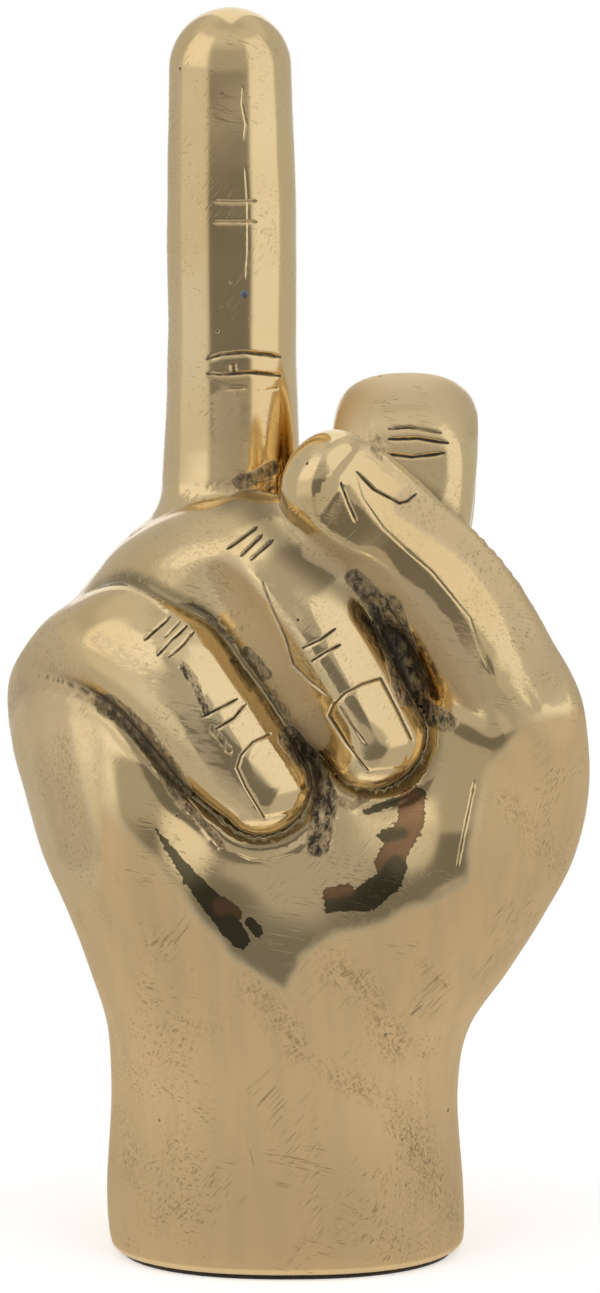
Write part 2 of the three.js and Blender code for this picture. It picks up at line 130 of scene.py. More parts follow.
def eased(values, places):
    """Numbers that run smoothly through `values`, at places counted along the list."""
    held = np.concatenate([[2 * values[0] - values[1]], values, [2 * values[-1] - values[-2]]])
    i = np.minimum(places.astype(int), len(values) - 2)
    t = places - i
    a, b, c, d = (held[i + k] for k in range(4))
    return 0.5 * (2 * b + (c - a) * t + (2 * a - 5 * b + 4 * c - d) * t ** 2 + (3 * b - 3 * c + d - a) * t ** 3)


class Limb:
    """A digit: an oval swept along a curve, with domed ends.

    Its stations are the centre line's x, y and height, and half the width and half the thickness there. `across`
    is the way its width lies. A flat has the way it faces, how far it lies from the centre line as a share of half
    the thickness, and the first and last of the stations that it reaches."""

    SPAN_STEPS = 7
    REACH = 10.0  # past this distance a digit has no effect, and only its box is measured
    CHUNK = 20000  # points measured at a time
    FLAT_FADE = 0.6  # stations over which a flat runs out at each end
    FLAT_EDGE = 0.9  # millimetres by which its edge is rounded

    def __init__(self, stations, across, tip, knuckle=None, power=2.2, flats=()):
        stations = np.array(stations, float)
        line, places = curve_through(stations[:, :3], self.SPAN_STEPS)
        self.line, self.places, self.power, self.flats = line, places, power, flats
        self.start, self.step = line[:-1], np.diff(line, axis=0)
        self.length_sq = (self.step ** 2).sum(1)
        across = unit(np.array(across, float))
        self.tangent = unit(np.gradient(line, axis=0))
        self.u = unit(across - self.tangent * (self.tangent @ across)[:, None])
        self.v = np.cross(self.tangent, self.u)
        run = np.concatenate([[0], np.cumsum(np.sqrt(self.length_sq))])
        self.bend = np.gradient(self.tangent, run, axis=0)
        self.wide, self.thick = (eased(stations[:, column], places) for column in (3, 4))
        self.ends = (knuckle or stations[0, 3], tip)
        size = max(self.wide.max(), self.thick.max()) + 2
        self.low, self.high = line.min(0) - size, line.max(0) + size

    def place(self, points):
        """For each point, the nearest place on the centre line and its offset from it in the digit's own axes."""
        along = points @ self.step.T - (self.start * self.step).sum(1)
        share = np.clip(along / self.length_sq, 0, 1)
        apart = -2 * points @ self.start.T + (self.start ** 2).sum(1)
        apart += -2 * share * along + share ** 2 * self.length_sq
        i = apart.argmin(1)
        t = share[np.arange(len(points)), i]
        length = np.sqrt(self.length_sq[i])
        least, most = np.where(i == 0, 0, -0.5), np.where(i == len(self.start) - 1, 1, 1.5)
        reach = length[:, None]
        ends = (self.line[i], self.tangent[i] * reach, self.line[i + 1], self.tangent[i + 1] * reach)

        def mix(rows):
            return (rows[i].T * (1 - t) + rows[i + 1].T * t).T

        for _ in range(3):
            weights = (2 * t ** 3 - 3 * t ** 2 + 1, t ** 3 - 2 * t ** 2 + t, 3 * t ** 2 - 2 * t ** 3, t ** 3 - t ** 2)
            offset = points - sum(weight[:, None] * end for weight, end in zip(weights, ends))
            last = t
            turn = np.maximum(1 - (offset * mix(self.bend)).sum(1), 0.4)
            t = np.clip(t + (offset * mix(self.tangent)).sum(1) / (length * turn), least, most)
        t = last
        axes = [(offset * unit(mix(axis))).sum(1) for axis in (self.u, self.v, self.tangent)]
        return offset, axes, mix(self.wide), mix(self.thick), mix(self.places)

    def near(self, points):
        offset, (u, v, w), wide, thick, place = self.place(points)
        end = np.where(w < 0, *self.ends)
        sides = (np.abs(u) / wide) ** self.power + (np.abs(v) / thick) ** self.power
        ratio = np.maximum((sides ** (2 / self.power) + (w / end) ** 2) ** 0.5, 1e-3)
        length = np.sqrt(u * u + v * v + w * w)
        field = np.where(ratio < 0.05, -np.minimum(wide, thick), length * (1 - 1 / ratio))
        for toward, share, first, last in self.flats:
            fade = 1 - ramp(place, first - self.FLAT_FADE, first + self.FLAT_FADE) \
                + ramp(place, last - self.FLAT_FADE, last + self.FLAT_FADE)
            above = offset @ unit(np.array(toward)) - (share + 0.5 * fade) * thick
            field = carve(field, -above, self.FLAT_EDGE)
        return field

    def __call__(self, points):
        far = np.linalg.norm(np.maximum(np.maximum(self.low - points, points - self.high), 0), axis=1)
        result = far + 2.0
        close = np.flatnonzero(far < self.REACH)
        for chunk in np.array_split(close, max(1, len(close) // self.CHUNK)):
            if len(chunk):
                result[chunk] = self.near(points[chunk])
        return result


# Sizes of the hand, as in the model

# Wrist and palm: height, and the reach to the left, right, front and back
HAND_SECTIONS = np.array([
    (0, 30.3, 30.3, 24, 23.4), (1.4, 31, 30.9, 24.7, 24.1), (10, 31.6, 30.8, 24.8, 24.2), (28, 30.6, 29.7, 23.8, 23.2),
    (39, 31.2, 31.8, 24, 23.2), (49, 34.2, 38.4, 25, 23.6), (60, 38.2, 45.2, 26.4, 24.2), (70, 42.4, 50, 27.2, 24.8),
    (80, 45.2, 51.6, 27, 25.2), (90, 47.4, 49.5, 25, 25.4), (100, 45, 42.5, 21, 25), (109, 38, 35, 14, 24),
    (116, 31.5, 30, 7, 21.5), (120.5, 23, 23.5, 1, 16),
])
SECTION_POWER = 2.25
PALM_TOP = 121.5
LEAST_REACH = 0.6  # of the palm to the front and back

# Forms of the palm's front: centre x and height, reach across and up, and how far they rise
PALM_FORMS = [
    (2, 86, 22, 27, -8),  # the hollow
    (35, 77, 13, 23, 5),  # the heel of the thumb
    (-31, 66, 12, 27, 6),  # the edge of the hand
]

LIMBS = {
    "raised_finger": Limb([
        (-10, 9, 102, 11.2, 10.4), (-9.8, 8.2, 124, 12.3, 13.6), (-9.5, 7.9, 142, 11.6, 11.4),
        (-9.4, 7.6, 160, 11.1, 10.2), (-9.4, 7.6, 182, 11.1, 10), (-9.7, 7.8, 204.4, 10.6, 9.8),
    ], (1, 0, 0), 10.4, power=2.3),
    "index_finger": Limb([
        (15, 8, 98, 10, 9), (17.4, 9.5, 113, 11.6, 9.8), (20.2, 8.4, 128, 12.2, 9.4), (20.6, 5.4, 138.8, 12.4, 9.2),
        (20.4, -1, 143.6, 12.4, 9.4), (20, -7.6, 139, 12.6, 9.2), (19.2, -10.4, 127, 11.8, 8.8),
        (17.2, -12, 114.6, 10, 8.2), (15, -12.6, 104.6, 8.6, 7.4),
    ], (1, 0, 0), 7, power=2.5, flats=[((0, -0.98, 0.2), 0.86, 4, 6)]),
    "ring_finger": Limb([
        (-25.6, 8.6, 108.4, 10.6, 10.6), (-20.4, 1.4, 115.4, 11.2, 11), (-13, -7.4, 120.2, 11.4, 10.8),
        (-4.2, -15.2, 120, 11.2, 10.6), (3.2, -20, 111.6, 10.4, 9.8), (9.4, -21.8, 101.8, 9.8, 9),
        (15.2, -22.4, 92.2, 8.4, 7.8),
    ], (0.86, 0.1, 0.5), 7.2, knuckle=9.6, power=2.3, flats=[((-0.63, -0.67, -0.37), 0.76, 2.4, 6)]),
    "little_finger": Limb([
        (-37.4, 5.4, 97, 9.8, 9.8), (-33, -3, 104.2, 10.3, 10), (-27, -10.2, 107, 11, 10.3),
        (-20.8, -15.4, 104.8, 11.2, 10), (-14.9, -18.6, 98, 10.6, 9.4), (-9.2, -20.2, 90.8, 9.8, 8.7),
        (-3.4, -20.8, 83.9, 8, 7.4),
    ], (0.86, 0.1, 0.5), 6.8, knuckle=9, power=2.3),
    "thumb": Limb([
        (34, -5, 74, 10.6, 11), (39.6, -10.6, 92, 11.8, 11.6), (34.8, -17.4, 105, 11, 11),
        (28.2, -21.6, 117, 10.4, 10.2), (19.6, -23, 127, 9.6, 9), (11.6, -24.4, 134.2, 9.6, 9.4),
        (7, -24, 137.4, 9.4, 8.8),
    ], (0.45, -0.8, 0.4), 7.4, power=2, flats=[
        ((0.4, -0.85, 0.35), 0.68, 1, 6), ((0.02, -1, 0), 0.73, 1, 6), ((-0.45, -0.8, -0.4), 0.86, 1, 4.8),
    ]),
}

# Metal that fills the valleys beside a digit, and the fillet between them
WEBS = {
    "ring_finger": (Limb([
        (-13.5, -7.4, 117, 7, 7), (-8, -10.2, 111.5, 7.2, 7.2), (-3, -12, 105, 7.2, 7.2), (1.4, -12.6, 97.4, 6.4, 6.4),
    ], (0.86, 0.1, 0.5), 5, power=2), 9),
    "thumb": (Limb([
        (-5, -12, 129, 4.5, 4.5), (2, -17, 126.6, 6.5, 6.5), (8, -19, 122, 6.5, 6.5), (14, -19, 114.6, 4.5, 4.5),
    ], (0.45, -0.8, 0.4), 4, power=2), 5),
}
LIP_RISE, LIP_GAP, LIP_WIDTH = 0.9, 2.4, 1.5  # braze metal round the feet of the two folded fingers
PALM = "hand_casting"
PIECES = [PALM, *LIMBS]

rail_rows, _ = curve_through(HAND_SECTIONS, 16)


def palm_form(points):
    """Wrist and palm, with the hollow, the heel of the thumb and the edge of the hand."""
    x, y, height = points.T
    left, right, front, back = (np.interp(height, rail_rows[:, 0], rail_rows[:, side]) for side in (1, 2, 3, 4))
    for middle, level, wide, tall, rise in PALM_FORMS:
        front = front + rise * np.exp(-((x - middle) / wide) ** 2 - ((height - level) / tall) ** 2)
    x = x - (right - left) / 2
    half = (right + left) / 2
    deep = np.maximum(np.where(y < 0, front, back), LEAST_REACH)
    ratio = ((np.abs(x) / half) ** SECTION_POWER + (np.abs(y) / deep) ** SECTION_POWER) ** (1 / SECTION_POWER)
    sideways = np.hypot(x, y) * (1 - 1 / np.maximum(ratio, 1e-3))
    return np.maximum(sideways, height - PALM_TOP)


def distances(points):
    """The field of each piece by itself, in the order of PIECES."""
    limbs = {name: limb(points) for name, limb in LIMBS.items()}
    for name, (web, fillet) in WEBS.items():
        limbs[name] = join(limbs[name], web(points), fillet)
    near = np.minimum(limbs["little_finger"], limbs["ring_finger"])
    lip = LIP_RISE * np.exp(-((near - LIP_GAP) / LIP_WIDTH) ** 2) * ramp(-points[:, 1], 6, 12)
    return {PALM: palm_form(points) - lip, **limbs}


def skin_field(points):
    """The field of the finished hand, with the slight unevenness of a hand-finished casting."""
    d = distances(points)
    behind = ramp(points[:, 1], -10, 4)
    fold = join(d["ring_finger"], d["little_finger"], 1.6 + 2.4 * behind)
    hand = join(d[PALM], d["raised_finger"], 2.2 + 3 * behind)
    hand = join(hand, d["index_finger"], 2 + 3 * behind)
    hand = join(hand, fold, 1.2 + 5 * behind)
    root = ramp(-points[:, 2], -112, -96)
    tip = ramp(-points[:, 0], -15, -8)
    hand = join(hand, d["thumb"], 1 + 7 * root + 4 * tip)
    return hand + (0.16 * noise(points, 17, 1) + 0.07 * noise(points, 7, 2))


def slope(points, reach=0.05):
    """The skin field's value and its gradient, from four samples."""
    corners = np.array([(1, 1, 1), (1, -1, -1), (-1, 1, -1), (-1, -1, 1)], float)
    samples = [skin_field(points + reach * corner) for corner in corners]
    gradient = sum(value[:, None] * corner for value, corner in zip(samples, corners)) / (4 * reach)
    return sum(samples) / 4, gradient


MOST_MOVED = 1.2


def settle(points, steps):
    """Moves points on to the skin, by at most MOST_MOVED a step."""
    for _ in range(steps):
        value, gradient = slope(points)
        steep = np.maximum((gradient ** 2).sum(1), 0.05)
        move = (value / steep)[:, None] * gradient
        size = np.linalg.norm(move, axis=1)[:, None]
        points = points - move * np.minimum(1, MOST_MOVED / np.maximum(size, 1e-9))
    return points


# Meshing

def halved(quads):
    return np.vstack([quads[:, [0, 1, 2]], quads[:, [0, 2, 3]]])


def surface_net(values, origin, step):
    """Vertices and triangles of the surface where a grid of values passes through zero."""
    inside = values < 0
    shape = np.array(values.shape) - 1
    corners = list(np.ndindex(2, 2, 2))
    count = sum(inside[tuple(slice(c, c + n) for c, n in zip(corner, shape))].astype(int) for corner in corners)
    cells = np.argwhere((count > 0) & (count < 8))
    total = np.zeros((len(cells), 3))
    crossings = np.zeros(len(cells))
    for a, axis in ((a, axis) for a in corners for axis in range(3) if not a[axis]):
        along = np.eye(3, dtype=int)[axis]
        va, vb = (values[tuple((cells + corner).T)] for corner in (a, a + along))
        crosses = (va < 0) != (vb < 0)
        share = np.where(crosses, va / np.where(crosses, va - vb, 1), 0)
        total += (np.array(a, float) + share[:, None] * along) * crosses[:, None]
        crossings += crosses
    number = -np.ones(shape, int)
    number[tuple(cells.T)] = np.arange(len(cells))
    quads = []
    for axis in range(3):
        one, two = (axis + 1) % 3, (axis + 2) % 3
        starts, ends = (np.take(inside, np.arange(shape[axis]) + side, axis) for side in (0, 1))
        edges = np.argwhere(starts != ends)
        edges = edges[(edges[:, [one, two]] > 0).all(1) & (edges[:, [one, two]] < shape[[one, two]]).all(1)]
        ring = []
        for da, db in ((1, 1), (0, 1), (0, 0), (1, 0)):
            cell = edges.copy()
            cell[:, one] -= da
            cell[:, two] -= db
            ring.append(number[tuple(cell.T)])
        quad = np.stack(ring, 1)
        flip = ~starts[tuple(edges.T)]
        quad[flip] = quad[flip][:, ::-1]
        quads.append(quad)
    return origin + step * (cells + total / crossings[:, None]), halved(np.vstack(quads))


GRID_STEP = 1.7
GRID_LOW, GRID_HIGH = np.array([-54.0, -38.0, -6.0]), np.array([58.0, 31.0, 219.0])


def grid_skin():
    axes = [np.arange(low, high, GRID_STEP) for low, high in zip(GRID_LOW, GRID_HIGH)]
    grid = np.stack(np.meshgrid(*axes, indexing="ij"), -1)
    values = np.concatenate([skin_field(part) for part in np.array_split(grid.reshape(-1, 3), 8)])
    return surface_net(values.reshape(grid.shape[:3]), GRID_LOW, GRID_STEP)


def edges_of(triangles):
    """The unique edges, and for each triangle the numbers of its three edges."""
    pairs = np.sort(triangles[:, [[0, 1], [1, 2], [2, 0]]].reshape(-1, 2), axis=1)
    span = triangles.max() + 1
    keys, inverse = np.unique(pairs[:, 0] * span + pairs[:, 1], return_inverse=True)
    return np.stack([keys // span, keys % span], 1), inverse.reshape(-1, 3)


# The triangles that replace one whose sides are split: 1, 2 and 4 stand for the sides, and 3, 4 and 5 for their middles
SPLITS = {
    0: [(0, 1, 2)],
    1: [(0, 3, 2), (3, 1, 2)],
    2: [(0, 1, 4), (0, 4, 2)],
    4: [(0, 1, 5), (5, 1, 2)],
    3: [(3, 1, 4), (0, 3, 4), (0, 4, 2)],
    6: [(4, 2, 5), (0, 1, 4), (0, 4, 5)],
    5: [(0, 3, 5), (3, 1, 2), (3, 2, 5)],
    7: [(0, 3, 5), (3, 1, 4), (5, 4, 2), (3, 4, 5)],
}


def split(vertices, triangles, edges, sides, chosen, new_points):
    """Splits the chosen edges at the new points, and every triangle beside them."""
    number = -np.ones(len(edges), int)
    number[chosen] = len(vertices) + np.arange(chosen.sum())
    six = np.hstack([triangles, number[sides]])
    code = (chosen[sides] * [1, 2, 4]).sum(1)
    made = [six[code == c][:, list(t)] for c, parts in SPLITS.items() for t in parts]
    return np.vstack([vertices, new_points]), np.vstack(made)


def gathered(places, rows, count):
    """The sum of the rows that go to each place."""
    return np.stack([np.bincount(places, column, count) for column in rows.T], 1)


def relaxed(vertices, triangles, share=0.5):
    """Draws each vertex towards the middle of its neighbours."""
    edges, _ = edges_of(triangles)
    ends = np.concatenate([edges, edges[:, ::-1]])
    total = gathered(ends[:, 0], vertices[ends[:, 1]], len(vertices))
    count = np.bincount(ends[:, 0], minlength=len(vertices))
    return vertices + share * (total / count[:, None] - vertices)


def normals_of(vertices, triangles):
    a, b, c = (vertices[triangles[:, i]] for i in range(3))
    across = np.cross(b - a, c - a)
    total = sum(gathered(triangles[:, corner], across, len(vertices)) for corner in range(3))
    return total / np.maximum(np.linalg.norm(total, axis=1), 1e-12)[:, None]


# Marks on the skin, placed by where they fall in the photograph. A path is given by its points' x and y in turn, in
# the photograph's pixels

def line_gap(spots, path):
    """The distance of spots in the picture from a path, and how far along it they lie, from 0 to 1."""
    path = np.reshape(path, (-1, 2)).astype(float)
    best = np.full(len(spots), 1e9)
    where = np.zeros(len(spots))
    lengths = np.linalg.norm(np.diff(path, axis=0), axis=1)
    done = 0.0
    for a, b, length in zip(path[:-1], path[1:], lengths):
        share = np.clip(((spots - a) @ (b - a)) / length ** 2, 0, 1)
        gap = np.linalg.norm(spots - a - share[:, None] * (b - a), axis=1)
        closer = gap < best
        best = np.where(closer, gap, best)
        where = np.where(closer, (done + share * length) / lengths.sum(), where)
        done += length
    return best, where


def outline_gap(spots, outline):
    """The distance of spots from a closed outline in the picture, negative inside it."""
    ring = [*outline, *outline[:2]]
    gap, _ = line_gap(spots, ring)
    inside = np.zeros(len(spots), bool)
    for ax, ay, bx, by in zip(ring[:-2:2], ring[1:-2:2], ring[2::2], ring[3::2]):
        spans = (ay > spots[:, 1]) != (by > spots[:, 1])
        inside ^= spans & (spots[:, 0] < (bx - ax) * (spots[:, 1] - ay) / (by - ay + 1e-9) + ax)
    return np.where(inside, -gap, gap)


def reached(spots, rows, inner):
    """How strongly paths reach spots. Each has its reach, its strength and its points, and is whole to `inner`."""
    total = np.zeros(len(spots))
    for reach, strength, *path in rows:
        gap, _ = line_gap(spots, path)
        total = np.maximum(total, strength * ramp(-gap, -reach, -reach * inner))
    return total


# Incised lines of each piece: depth in millimetres, half width in pixels, and the path
STROKES = {
    "raised_finger": [
        (0.24, 1.5, 214, 201, 236, 202, 257, 201),
        (0.24, 1.4, 213, 222, 236, 222, 257, 222),
        (0.36, 2.1, 207, 359, 222, 355, 245, 353, 280, 357),
        (0.34, 1.8, 207, 374, 222, 375, 250, 373, 280, 376),
        (0.22, 1.4, 226, 389, 246, 388),
        (0.14, 1.2, 266, 390, 279, 388),
        (0.1, 0.8, 243, 86, 242, 104, 246, 124, 244, 140),
        (0.08, 0.8, 245, 165, 248, 205, 248, 250, 246, 282),
        (0.3, 3, 233, 364, 234, 371),
    ],
    "ring_finger": [
        (0.38, 1.5, 227, 549, 257, 527),
        (0.42, 1.6, 241, 556, 262, 535),
        (0.38, 1.5, 251, 560, 273, 540),
        (0.4, 1.6, 303, 648, 320, 640, 335, 629),
        (0.4, 1.6, 312, 661, 326, 652, 340, 645),
        (0.3, 1.4, 263, 582, 272, 610, 285, 638, 293, 665, 308, 680, 330, 697),
        (0.3, 1.3, 341, 706, 352, 724, 367, 744),
    ],
    "little_finger": [
        (0.42, 1.7, 145, 641, 158, 628, 170, 617),
        (0.36, 1.4, 165, 638, 180, 622),
        (0.42, 1.6, 158, 656, 172, 640, 187, 626),
        (0.38, 1.5, 169, 658, 184, 644, 194, 632),
        (0.4, 1.6, 202, 717, 222, 707, 237, 699),
        (0.4, 1.6, 216, 729, 234, 718, 246, 704),
    ],
    "index_finger": [
        (0.35, 1.6, 389, 429, 410, 427, 441, 433),
        (0.45, 1.8, 389, 439, 418, 438, 448, 443),
        (0.45, 1.9, 387, 454, 412, 457, 444, 453),
    ],
    "thumb": [
        (0.4, 1.5, 357, 472, 374, 489, 400, 503, 408, 501, 416, 494),
        (0.35, 1.8, 341, 483, 348, 503, 357, 523),
        (0.12, 1.0, 354, 470, 362, 497, 383, 528, 408, 552, 432, 572, 450, 594, 470, 618, 478, 645, 492, 678),
    ],
    PALM: [
        (0.14, 1.0, 500, 686, 518, 708, 526, 728, 512, 744, 490, 772),
        (0.3, 1.4, 475, 780, 470, 805, 463, 838, 457, 870),
        (0.14, 1.3, 182, 793, 196, 808, 208, 830, 224, 846),
        (0.3, 3, 186, 804, 198, 820),
        (0.3, 3, 203, 826, 214, 839),
        (0.12, 1.1, 232, 852, 250, 859, 270, 861, 300, 853),
        (0.25, 1.3, 411, 1015, 422, 1006),
        (0.2, 1.1, 250, 1150, 254, 1166),
    ],
}

# Broad ridges and flutes: the pieces, rise in millimetres, half width in pixels, and the path
RIDGES = [
    (("thumb", PALM), 0.5, 12, 484, 655, 498, 684, 522, 710, 531, 730, 518, 748, 500, 770),
    (("thumb", PALM), 0.5, 15, 425, 492, 470, 532, 497, 562, 522, 612, 548, 665, 569, 715, 567, 770),
    (("ring_finger",), 0.5, 12, 292, 585, 322, 640, 350, 690, 384, 750),
    (("little_finger",), 0.4, 12, 110, 625, 150, 640, 190, 680, 228, 730, 262, 780),
]

# Nails: the piece, how many of the outline's sides are grooved, and the outline
NAILS = [
    ("ring_finger", 8, 368, 771, 346, 744, 328, 716, 333, 705, 345, 693, 362, 684, 381, 678, 397, 708, 412, 740,
     404, 768),
    ("little_finger", 5, 264, 818, 246, 788, 237, 768, 241, 755, 253, 742, 270, 734, 288, 760, 305, 790, 296, 812),
]

# Places that were never dressed after casting: reach in pixels, how rough it is, and the path
ROUGH_PLACES = [
    (16, 0.6, 106, 704, 135, 726, 160, 757, 182, 792),
    (5, 0.5, 208, 618, 232, 640),
    (5, 0.9, 183, 668, 198, 692, 207, 713),
    (4.5, 0.7, 213, 728, 229, 750),
    (9, 0.65, 247, 652, 258, 664, 266, 674),
    (6, 0.4, 276, 690, 290, 722),
    (12, 0.4, 374, 438, 384, 455),
    (16, 1.0, 290, 738, 312, 765, 326, 800, 318, 845),
    (13, 0.7, 354, 578, 378, 602),
    (22, 1.0, 386, 610, 400, 650, 412, 692),
    (14, 0.9, 405, 690, 425, 710, 445, 722),
    (13, 0.3, 190, 497, 230, 488, 268, 485),
    (11, 0.6, 240, 482, 256, 478, 272, 468),
    (8, 0.4, 335, 800, 352, 806, 366, 796),
    (5, 0.6, 180, 800, 205, 825, 222, 846),
]

# Painted reflections of dark things in the hollow of the palm: whether brown and not dark, the reach in pixels at both
# ends, and the path
PAINTED_REFLECTIONS = [
    (0, 2, 13, 156, 829, 172, 853, 192, 879, 212, 903, 222, 914),
    (1, 10, 10, 221, 906, 233, 914),
    (0, 12, 10, 229, 925, 240, 939),
    (0, 6, 6, 250, 922, 258, 932),
    (0, 4, 7, 366, 812, 388, 804, 420, 795),
    (1, 14, 14, 412, 800, 411, 822, 398, 846, 388, 864),
    (0, 8, 7, 386, 836, 402, 833),
    (0, 12, 15, 396, 866, 390, 880, 368, 896),
    (0, 12, 9, 366, 900, 332, 904),
    (1, 7, 7, 329, 893, 348, 890),
]

# Pairs of pieces whose seam holds dark oxide: how far it spreads in millimetres, and its strength
DARK_SEAMS = [
    ("ring_finger", "little_finger", 0.6, 0.6),
    ("ring_finger", PALM, 0.8, 0.7),
    ("little_finger", PALM, 0.8, 0.7),
    ("ring_finger", "thumb", 0.6, 0.45),
    ("ring_finger", "index_finger", 2.4, 0.8),
    ("thumb", "index_finger", 1.2, 0.7),
    ("raised_finger", "ring_finger", 0.6, 0.4),
    ("raised_finger", "thumb", 0.8, 0.6),
]

# Brushed places of each piece, left by the file between the polished ones: reach in pixels, strength and path
BRUSHED = {
    "thumb": [
        (22, 1.0, 318, 548, 350, 566, 380, 582, 412, 602, 434, 626, 448, 655, 474, 696),
        (23, 0.75, 408, 504, 446, 528, 482, 556, 512, 600, 532, 648, 552, 690),
        (9, 0.6, 345, 425, 375, 458, 415, 490, 480, 525, 515, 570, 560, 650, 585, 710),
        (10, 0.4, 300, 440, 318, 455, 330, 480),
    ],
    "index_finger": [
        (24, 0.75, 352, 430, 362, 395, 400, 385, 440, 390, 466, 425),
    ],
    "ring_finger": [
        (26, 0.85, 225, 570, 250, 615, 270, 655, 292, 690, 312, 735),
        (12, 0.45, 270, 590, 292, 640, 312, 680),
        (30, 0.35, 120, 580, 160, 550, 210, 520),
    ],
    "little_finger": [
        (30, 0.6, 40, 640, 60, 700),
        (14, 0.5, 100, 640, 150, 680, 190, 720, 230, 790),
        (30, 0.9, 36, 660, 44, 700, 50, 740),
    ],
    "raised_finger": [
        (20, 0.7, 226, 400, 228, 440, 232, 482),
        (9, 0.5, 176, 60, 173, 200, 172, 340, 168, 480),
    ],
    PALM: [
        (18, 0.5, 440, 705, 480, 700, 505, 720),
        (30, 0.9, 45, 660, 50, 720, 62, 790, 80, 850),
    ],
}

# Pairs of pieces with a brown patina and painted shade in the valley between them: its reach in millimetres, and its
# strength
PATINA_AND_SHADE_PAIRS = [
    ("ring_finger", "little_finger", 3, 1),
    ("ring_finger", PALM, 4, 1),
    ("little_finger", PALM, 3.6, 1),
    ("ring_finger", "thumb", 4, 1),
    ("raised_finger", "thumb", 4.5, 1),
    ("raised_finger", PALM, 1.5, 1),
    ("thumb", "index_finger", 3, 1),
    ("ring_finger", "index_finger", 4, 1),
    ("raised_finger", "index_finger", 12, 1),
]

# Speckled tarnish: reach in pixels, strength and path
TARNISH = [
    (26, 0.8, 250, 985, 275, 1010, 298, 1050),
    (30, 0.8, 325, 965, 365, 990, 395, 1045),
    (22, 0.7, 318, 1070, 350, 1085, 385, 1095),
    (26, 0.9, 400, 1125, 425, 1160, 445, 1205),
    (22, 0.5, 505, 800, 530, 830, 555, 862),
    (12, 0.7, 422, 965, 446, 986),
    (20, 0.5, 120, 1110, 135, 1180, 150, 1225),
    (16, 0.3, 60, 740, 75, 800, 92, 860),
]

# Outline of the part of the palm that was polished. The wrist and the sides were left satin.
PALM_POLISH = [
    60, 560, 97, 700, 103, 735, 105, 800, 150, 850, 195, 905, 230, 950, 285, 992, 297, 955, 335, 930, 385, 920, 430,
    900, 465, 880, 470, 830, 480, 778, 506, 745, 520, 718, 568, 712, 590, 640, 590, 470, 60, 470
]


def painted_reflection_at(spots):
    """How strongly the painted reflections reach spots in the picture, and how brown they are."""
    total = [np.zeros(len(spots)), np.zeros(len(spots))]
    for brown, first, last, *path in PAINTED_REFLECTIONS:
        gap, along = line_gap(spots, path)
        reach = first + (last - first) * along
        here = ramp(-gap, -reach - 1, -reach + 3)
        total[0] = np.maximum(total[0], here)
        total[1] = np.maximum(total[1], here) if brown else total[1] * (1 - here)
    return total


def roughness_at(spots, facing):
    return reached(spots, ROUGH_PLACES, 0.45) * facing


def shown(labels, facing, *pieces):
    """The numbers of the points that lie on the pieces and face the photograph's camera."""
    return np.flatnonzero(np.isin(labels, [PIECES.index(piece) for piece in pieces]) & (facing > 0))


def strokes_on(spots, labels, facing):
    """For each incised line its depth and half width, the points of its piece, their distance and their place."""
    for piece, rows in STROKES.items():
        on = shown(labels, facing, piece)
        for depth, wide, *path in rows:
            yield depth, wide, on, *line_gap(spots[on], path)


def ends_faded(along, low, high):
    """1 along a path, falling off at its two ends."""
    return ramp(along, low, high) * ramp(1 - along, low, high)


NAIL_GROOVE, NAIL_GROOVE_WIDTH, NAIL_PLATE = 0.26, 1.25, 0.2  # depth, half width in pixels, and rise of the plate
ROUGH_HEIGHT = 0.42


def relief(points, labels, facing):
    """How far the marks raise the skin, in millimetres, at points of the plain skin."""
    spots = picture(points)
    height = np.zeros(len(points))
    for depth, wide, on, gap, along in strokes_on(spots, labels, facing):
        uneven = 0.8 + 0.35 * noise(points[on], 1.6, 8)
        height[on] -= depth * ends_faded(along, -0.02, 0.12) * uneven * np.exp(-(gap / wide) ** 2) * facing[on]
    for pieces, rise, wide, *path in RIDGES:
        on = shown(labels, facing, *pieces)
        gap, along = line_gap(spots[on], path)
        height[on] += rise * ends_faded(along, 0, 0.2) * np.exp(-(gap / wide) ** 2) * facing[on]
    for piece, grooved, *outline in NAILS:
        on = shown(labels, facing, piece)
        along, _ = line_gap(spots[on], outline[:2 * grooved + 2])
        groove = -NAIL_GROOVE * np.exp(-(along / NAIL_GROOVE_WIDTH) ** 2)
        plate = NAIL_PLATE * ramp(-outline_gap(spots[on], outline), -1, 5)
        height[on] += (groove + plate) * facing[on]
    rough = roughness_at(spots, facing)
    on = np.flatnonzero(rough > 0)
    grain = 0.55 * noise(points[on], 2.9, 5) + 0.4 * noise(points[on], 1.3, 6) + 0.2 * noise(points[on], 0.7, 7)
    height[on] += rough[on] * (grain - 0.15) * ROUGH_HEIGHT
    return height


# Edge lengths wanted, in millimetres, and how fast they grow away from a line, for each pixel of the photograph
PALM_EDGE, DIGIT_EDGE, ROUGH_EDGE, REFLECTION_EDGE, LINE_EDGE = 1.5, 1.0, 0.42, 0.6, 0.17
EDGE_GROWTH = 0.1


def wanted_size(points, labels, facing):
    """The edge length wanted at each place, in millimetres."""
    spots = picture(points)
    size = np.where(labels == 0, PALM_EDGE, DIGIT_EDGE)
    near = np.full(len(points), 1e9)
    for _, wide, on, gap, _ in strokes_on(spots, labels, facing):
        near[on] = np.minimum(near[on], gap - wide)
    for piece, _, *outline in NAILS:
        on = shown(labels, facing, piece)
        near[on] = np.minimum(near[on], np.abs(outline_gap(spots[on], outline)) - 1)
    size = np.minimum(size, LINE_EDGE + EDGE_GROWTH * np.maximum(near, 0))
    size = np.where(roughness_at(spots, facing) > 0.05, np.minimum(size, ROUGH_EDGE), size)
    return np.where(painted_reflection_at(spots)[0] * facing > 0, np.minimum(size, REFLECTION_EDGE), size)


def facing_of(points, normals):
    """1 where the skin faces the photograph's camera and 0 where it turns away."""
    return ramp((normals * unit(view_from - points)).sum(1), 0.05, 0.25)


